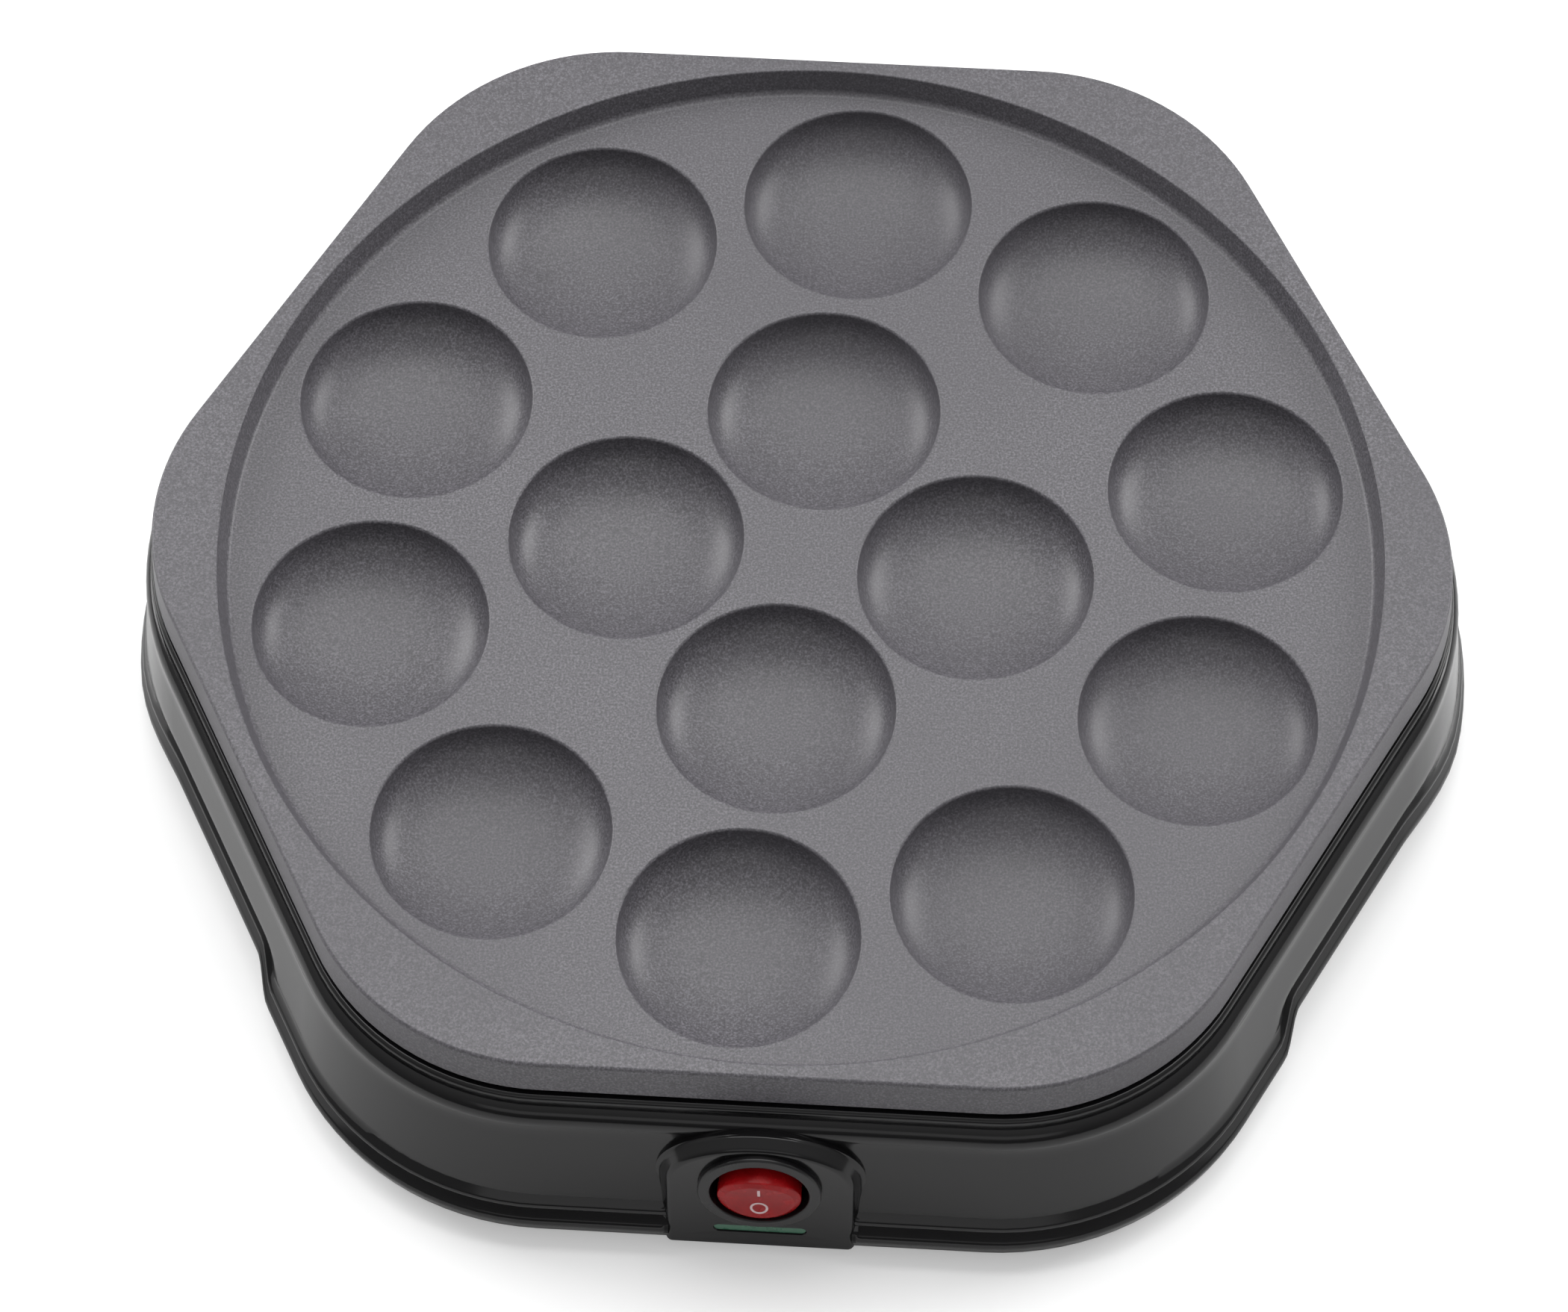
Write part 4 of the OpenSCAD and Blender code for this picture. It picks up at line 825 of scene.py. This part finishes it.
class MAKER_OT_switch(bpy.types.Operator):
    """Build the switch's bezel and barrel"""
    bl_idname = "maker.switch"
    bl_label = "Switch body"

    def execute(self, context):
        s = context.scene.maker_sizes
        bm = bmesh.new()
        rb, rm, rf = s.barrel_d / 2, s.mouth_d / 2, s.bezel_d / 2
        profile = [(0.0, -14 * MM), (rb - 0.4 * MM, -14 * MM), (rb, -13.6 * MM), (rb, 0.0), (rf - 0.1 * MM, 0.0)]
        profile += arc(rf - 0.55 * MM, 0.75 * MM, 0.55 * MM, -12, 70, 7)
        profile += arc(rm + 0.55 * MM, 1.05 * MM, 0.35 * MM, 78, 180, 6)
        profile += [(rm, 0.0), (rm, -11.7 * MM), (rm - 0.3 * MM, -12 * MM), (0.0, -12 * MM)]
        turned(bm, profile, 96)
        bmesh.ops.transform(bm, verts=bm.verts, matrix=at_switch(s))
        obj = piece("switch_bezel", bm, finish_of("switch_black"), "maker")
        tool = bmesh.new()
        pin = 1.25 * MM
        bmesh.ops.create_cone(tool, cap_ends=True, segments=32, radius1=pin, radius2=pin, depth=2 * rb - 0.2 * MM,
                              matrix=Matrix.Translation((0, 0, -s.pivot_in)) @ Matrix.Rotation(math.pi / 2, 4, "Y"))
        bmesh.ops.transform(tool, verts=tool.verts, matrix=at_switch(s))
        cut(obj, tool)
        for y in (-5.2, 0.0, 5.2):
            tool = bmesh.new()
            bmesh.ops.create_cube(tool, size=1.0, matrix=at_switch(s) @ Matrix.Translation((0, y * MM, -13 * MM))
                                  @ Matrix.Diagonal((4.9 * MM, 0.9 * MM, 4 * MM, 1)))
            cut(obj, tool)
        weigh_normals(obj)
        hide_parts("switch_body")
        return {"FINISHED"}


def dish(bm, lowest):
    """Presses the rocker's face into its shallow cylindrical dish."""
    for v in bm.verts:
        if v.co.z > lowest:
            v.co.z += v.co.y ** 2 / (2 * 40 * MM) - 0.7 * MM


class MAKER_OT_rocker(bpy.types.Operator):
    """Build the clear red rocker and its printed marks"""
    bl_idname = "maker.rocker"
    bl_label = "Rocker"

    def execute(self, context):
        s = context.scene.maker_sizes
        tilt = Matrix.Rotation(math.radians(ROCKER_TILT), 4, "X")
        place = at_switch(s) @ Matrix.Translation((0, 0, -s.pivot_in)) @ tilt
        r = s.rocker_d / 2
        top = s.pivot_in + s.rocker_out + 0.7 * MM
        bm = bmesh.new()
        profile = [(0.0, -2.8 * MM), (r - 0.6 * MM, -2.8 * MM), (r, -2.2 * MM), (r, 2.0 * MM)]
        profile += arc(r - 0.4 * MM, top - 0.9 * MM, 0.4 * MM, 0, 50, 5)
        profile += arc(r - 1.30 * MM, top - 0.22 * MM, 0.22 * MM, 50, 90, 4)
        profile += [(x * MM, top) for x in (5.9, 5.2, 4.4, 3.6, 2.8, 2.0, 1.2, 0.5)] + [(0.0, top)]
        turned(bm, profile, 96)
        dish(bm, top - 1.2 * MM)
        # trunnions, let 1 mm into the rocker
        sunk = 1 * MM
        pin = s.barrel_d / 2 - 0.3 * MM - r + sunk
        for side in (1, -1):
            bmesh.ops.create_cone(bm, cap_ends=True, segments=32, radius1=1.2 * MM, radius2=1.2 * MM, depth=pin,
                                  matrix=Matrix.Translation((side * (r - sunk + pin / 2), 0, 0))
                                  @ Matrix.Rotation(math.pi / 2, 4, "Y"))
        bmesh.ops.transform(bm, verts=bm.verts, matrix=place)
        obj = piece("rocker_cap", bm, finish_of("rocker_red"), "switch_rocker", 60.0)
        weigh_normals(obj)
        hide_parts("rocker")
        ink = printed("mark_print", context.scene.maker_colours.mark)
        bm = bmesh.new()
        bmesh.ops.create_cube(bm, size=1.0, matrix=Matrix.Translation((0, 3.7 * MM, top + 0.03 * MM))
                              @ Matrix.Diagonal((0.5 * MM, 3.0 * MM, 0.1 * MM, 1)))
        bmesh.ops.bevel(bm, geom=[e for e in bm.edges if abs(e.verts[0].co.z - e.verts[1].co.z) > 1e-6],
                        offset=0.08 * MM, offset_type="OFFSET", segments=3, profile=0.5, affect="EDGES", material=-1)
        dish(bm, 0.0)
        bmesh.ops.transform(bm, verts=bm.verts, matrix=place)
        piece("mark_on", bm, ink, "switch_rocker")
        bm = bmesh.new()
        turned(bm, [(1.22 * MM, top - 0.03 * MM), (1.64 * MM, top - 0.03 * MM), (1.64 * MM, top + 0.05 * MM),
                    (1.22 * MM, top + 0.05 * MM), (1.22 * MM, top - 0.03 * MM)], 64)
        bmesh.ops.scale(bm, verts=bm.verts, vec=(1, 1.25, 1))
        bmesh.ops.translate(bm, verts=bm.verts, vec=(0, -2.9 * MM, 0))
        dish(bm, 0.0)
        bmesh.ops.transform(bm, verts=bm.verts, matrix=place)
        piece("mark_off", bm, ink, "switch_rocker")
        return {"FINISHED"}


class MAKER_OT_stage(bpy.types.Operator):
    """Set the floor, the soft light and the camera"""
    bl_idname = "maker.stage"
    bl_label = "Stage"

    def execute(self, context):
        scene = context.scene
        bm = bmesh.new()
        bmesh.ops.create_grid(bm, x_segments=1, y_segments=1, size=4.0)
        mesh = bpy.data.meshes.new("floor")
        bm.to_mesh(mesh)
        bm.free()
        floor = bpy.data.objects.new("floor", mesh)
        scene.collection.objects.link(floor)
        g = Graph("floor_paper")
        p = g.shader(Roughness=0.9, Specular_IOR_Level=0.1)
        grain = g.noise(900, 3.0)
        g.link(g.mix((0.80, 0.80, 0.80), (0.82, 0.82, 0.82), g.span(grain, 0.0, 1.0)), p.inputs["Base Color"])
        glow = g.add("ShaderNodeEmission")
        glow.inputs["Color"].default_value = (1, 1, 1, 1)
        path = g.add("ShaderNodeLightPath")
        more = g.add("ShaderNodeMath", operation="MULTIPLY")
        g.link(path.outputs["Is Camera Ray"], more.inputs[0])
        more.inputs[1].default_value = 0.30
        g.link(more.outputs[0], glow.inputs["Strength"])
        both = g.add("ShaderNodeAddShader")
        g.link(p.outputs[0], both.inputs[0])
        g.link(glow.outputs[0], both.inputs[1])
        g.link(both.outputs[0], g.out.inputs["Surface"])
        mesh.materials.append(g.mat)

        world = bpy.data.worlds.new("studio")
        world.use_nodes = True
        scene.world = world
        tree = world.node_tree
        back = tree.nodes["Background"]
        back.inputs["Color"].default_value = (1, 1, 1, 1)
        path = tree.nodes.new("ShaderNodeLightPath")
        way = tree.nodes.new("ShaderNodeTexCoord")
        tilt = tree.nodes.new("ShaderNodeVectorMath")
        tilt.operation = "DOT_PRODUCT"
        tilt.inputs[1].default_value = (0.0, 0.8, 0.6)
        tree.links.new(way.outputs["Generated"], tilt.inputs[0])
        sky = tree.nodes.new("ShaderNodeMapRange")
        for key, v in (("From Min", -0.8), ("From Max", 0.9), ("To Min", 0.12), ("To Max", 0.78)):
            sky.inputs[key].default_value = v
        tree.links.new(tilt.outputs["Value"], sky.inputs["Value"])
        level = tree.nodes.new("ShaderNodeMix")
        level.inputs["B"].default_value = 1.0
        tree.links.new(path.outputs["Is Camera Ray"], level.inputs["Factor"])
        tree.links.new(sky.outputs["Result"], level.inputs["A"])
        tree.links.new(level.outputs["Result"], back.inputs["Strength"])

        def lamp(name, place, aim, size, power):
            data = bpy.data.lights.new(name, "AREA")
            data.shape, data.size, data.size_y, data.energy = "RECTANGLE", size[0], size[1], power
            obj = bpy.data.objects.new(name, data)
            obj.location = place
            obj.rotation_euler = (Vector(aim) - Vector(place)).to_track_quat("-Z", "Y").to_euler()
            scene.collection.objects.link(obj)

        lamp("top_light", (0.0, 0.45, 1.35), (0, 0, 0), (1.4, 0.9), 12.0)
        lamp("left_light", (-1.15, 0.62, 0.62), (0, 0, 0.03), (0.7, 0.55), 9.5)
        lamp("right_light", (1.15, 0.62, 0.62), (0, 0, 0.03), (0.7, 0.55), 9.5)
        lamp("front_light", (0.0, -1.3, 0.9), (0, 0, 0.0), (1.2, 0.5), 1.2)

        cam = bpy.data.cameras.new("view")
        cam.lens, cam.sensor_width, cam.sensor_fit = 132.64, 36.0, "HORIZONTAL"
        cam.clip_start, cam.clip_end = 0.05, 20.0
        eye = bpy.data.objects.new("view", cam)
        right = Vector((0.99802, 0.06253, -0.00649)).normalized()
        away = Vector((0.03753, -0.50975, 0.85951))
        up = away.cross(right).normalized()
        away = right.cross(up)
        turn = Matrix((right, up, away)).transposed().to_4x4()
        eye.matrix_world = Matrix.Translation((0.03845, -0.5675, 0.9630)) @ turn
        scene.collection.objects.link(eye)
        scene.camera = eye
        scene.view_settings.view_transform = "Standard"
        return {"FINISHED"}


class MAKER_PT_panel(bpy.types.Panel):
    """Lists the steps that build the maker, and its sizes and colours"""
    bl_idname = "MAKER_PT_panel"
    bl_label = "Donut maker"
    bl_space_type = "VIEW_3D"
    bl_region_type = "UI"
    bl_category = "Maker"

    def draw(self, context):
        for op in STEPS:
            self.layout.operator(op.bl_idname)
        for group in (context.scene.maker_sizes, context.scene.maker_colours):
            for key in group.__annotations__:
                self.layout.prop(group, key)


STEPS = (MAKER_OT_finishes, MAKER_OT_plate, MAKER_OT_housing, MAKER_OT_panel, MAKER_OT_switch, MAKER_OT_rocker,
         MAKER_OT_stage)
CLASSES = (MakerSizes, MakerColours) + STEPS + (MAKER_PT_panel,)


def register():
    for c in CLASSES:
        bpy.utils.register_class(c)
    bpy.types.Scene.maker_sizes = PointerProperty(type=MakerSizes)
    bpy.types.Scene.maker_colours = PointerProperty(type=MakerColours)


def unregister():
    del bpy.types.Scene.maker_sizes
    del bpy.types.Scene.maker_colours
    for c in reversed(CLASSES):
        bpy.utils.unregister_class(c)


def main():
    register()
    for step in (bpy.ops.maker.finishes, bpy.ops.maker.plate, bpy.ops.maker.housing, bpy.ops.maker.panel,
                 bpy.ops.maker.switch, bpy.ops.maker.rocker, bpy.ops.maker.stage):
        if step() != {"FINISHED"}:
            raise RuntimeError("a step did not finish")


if __name__ == "__main__":
    main()
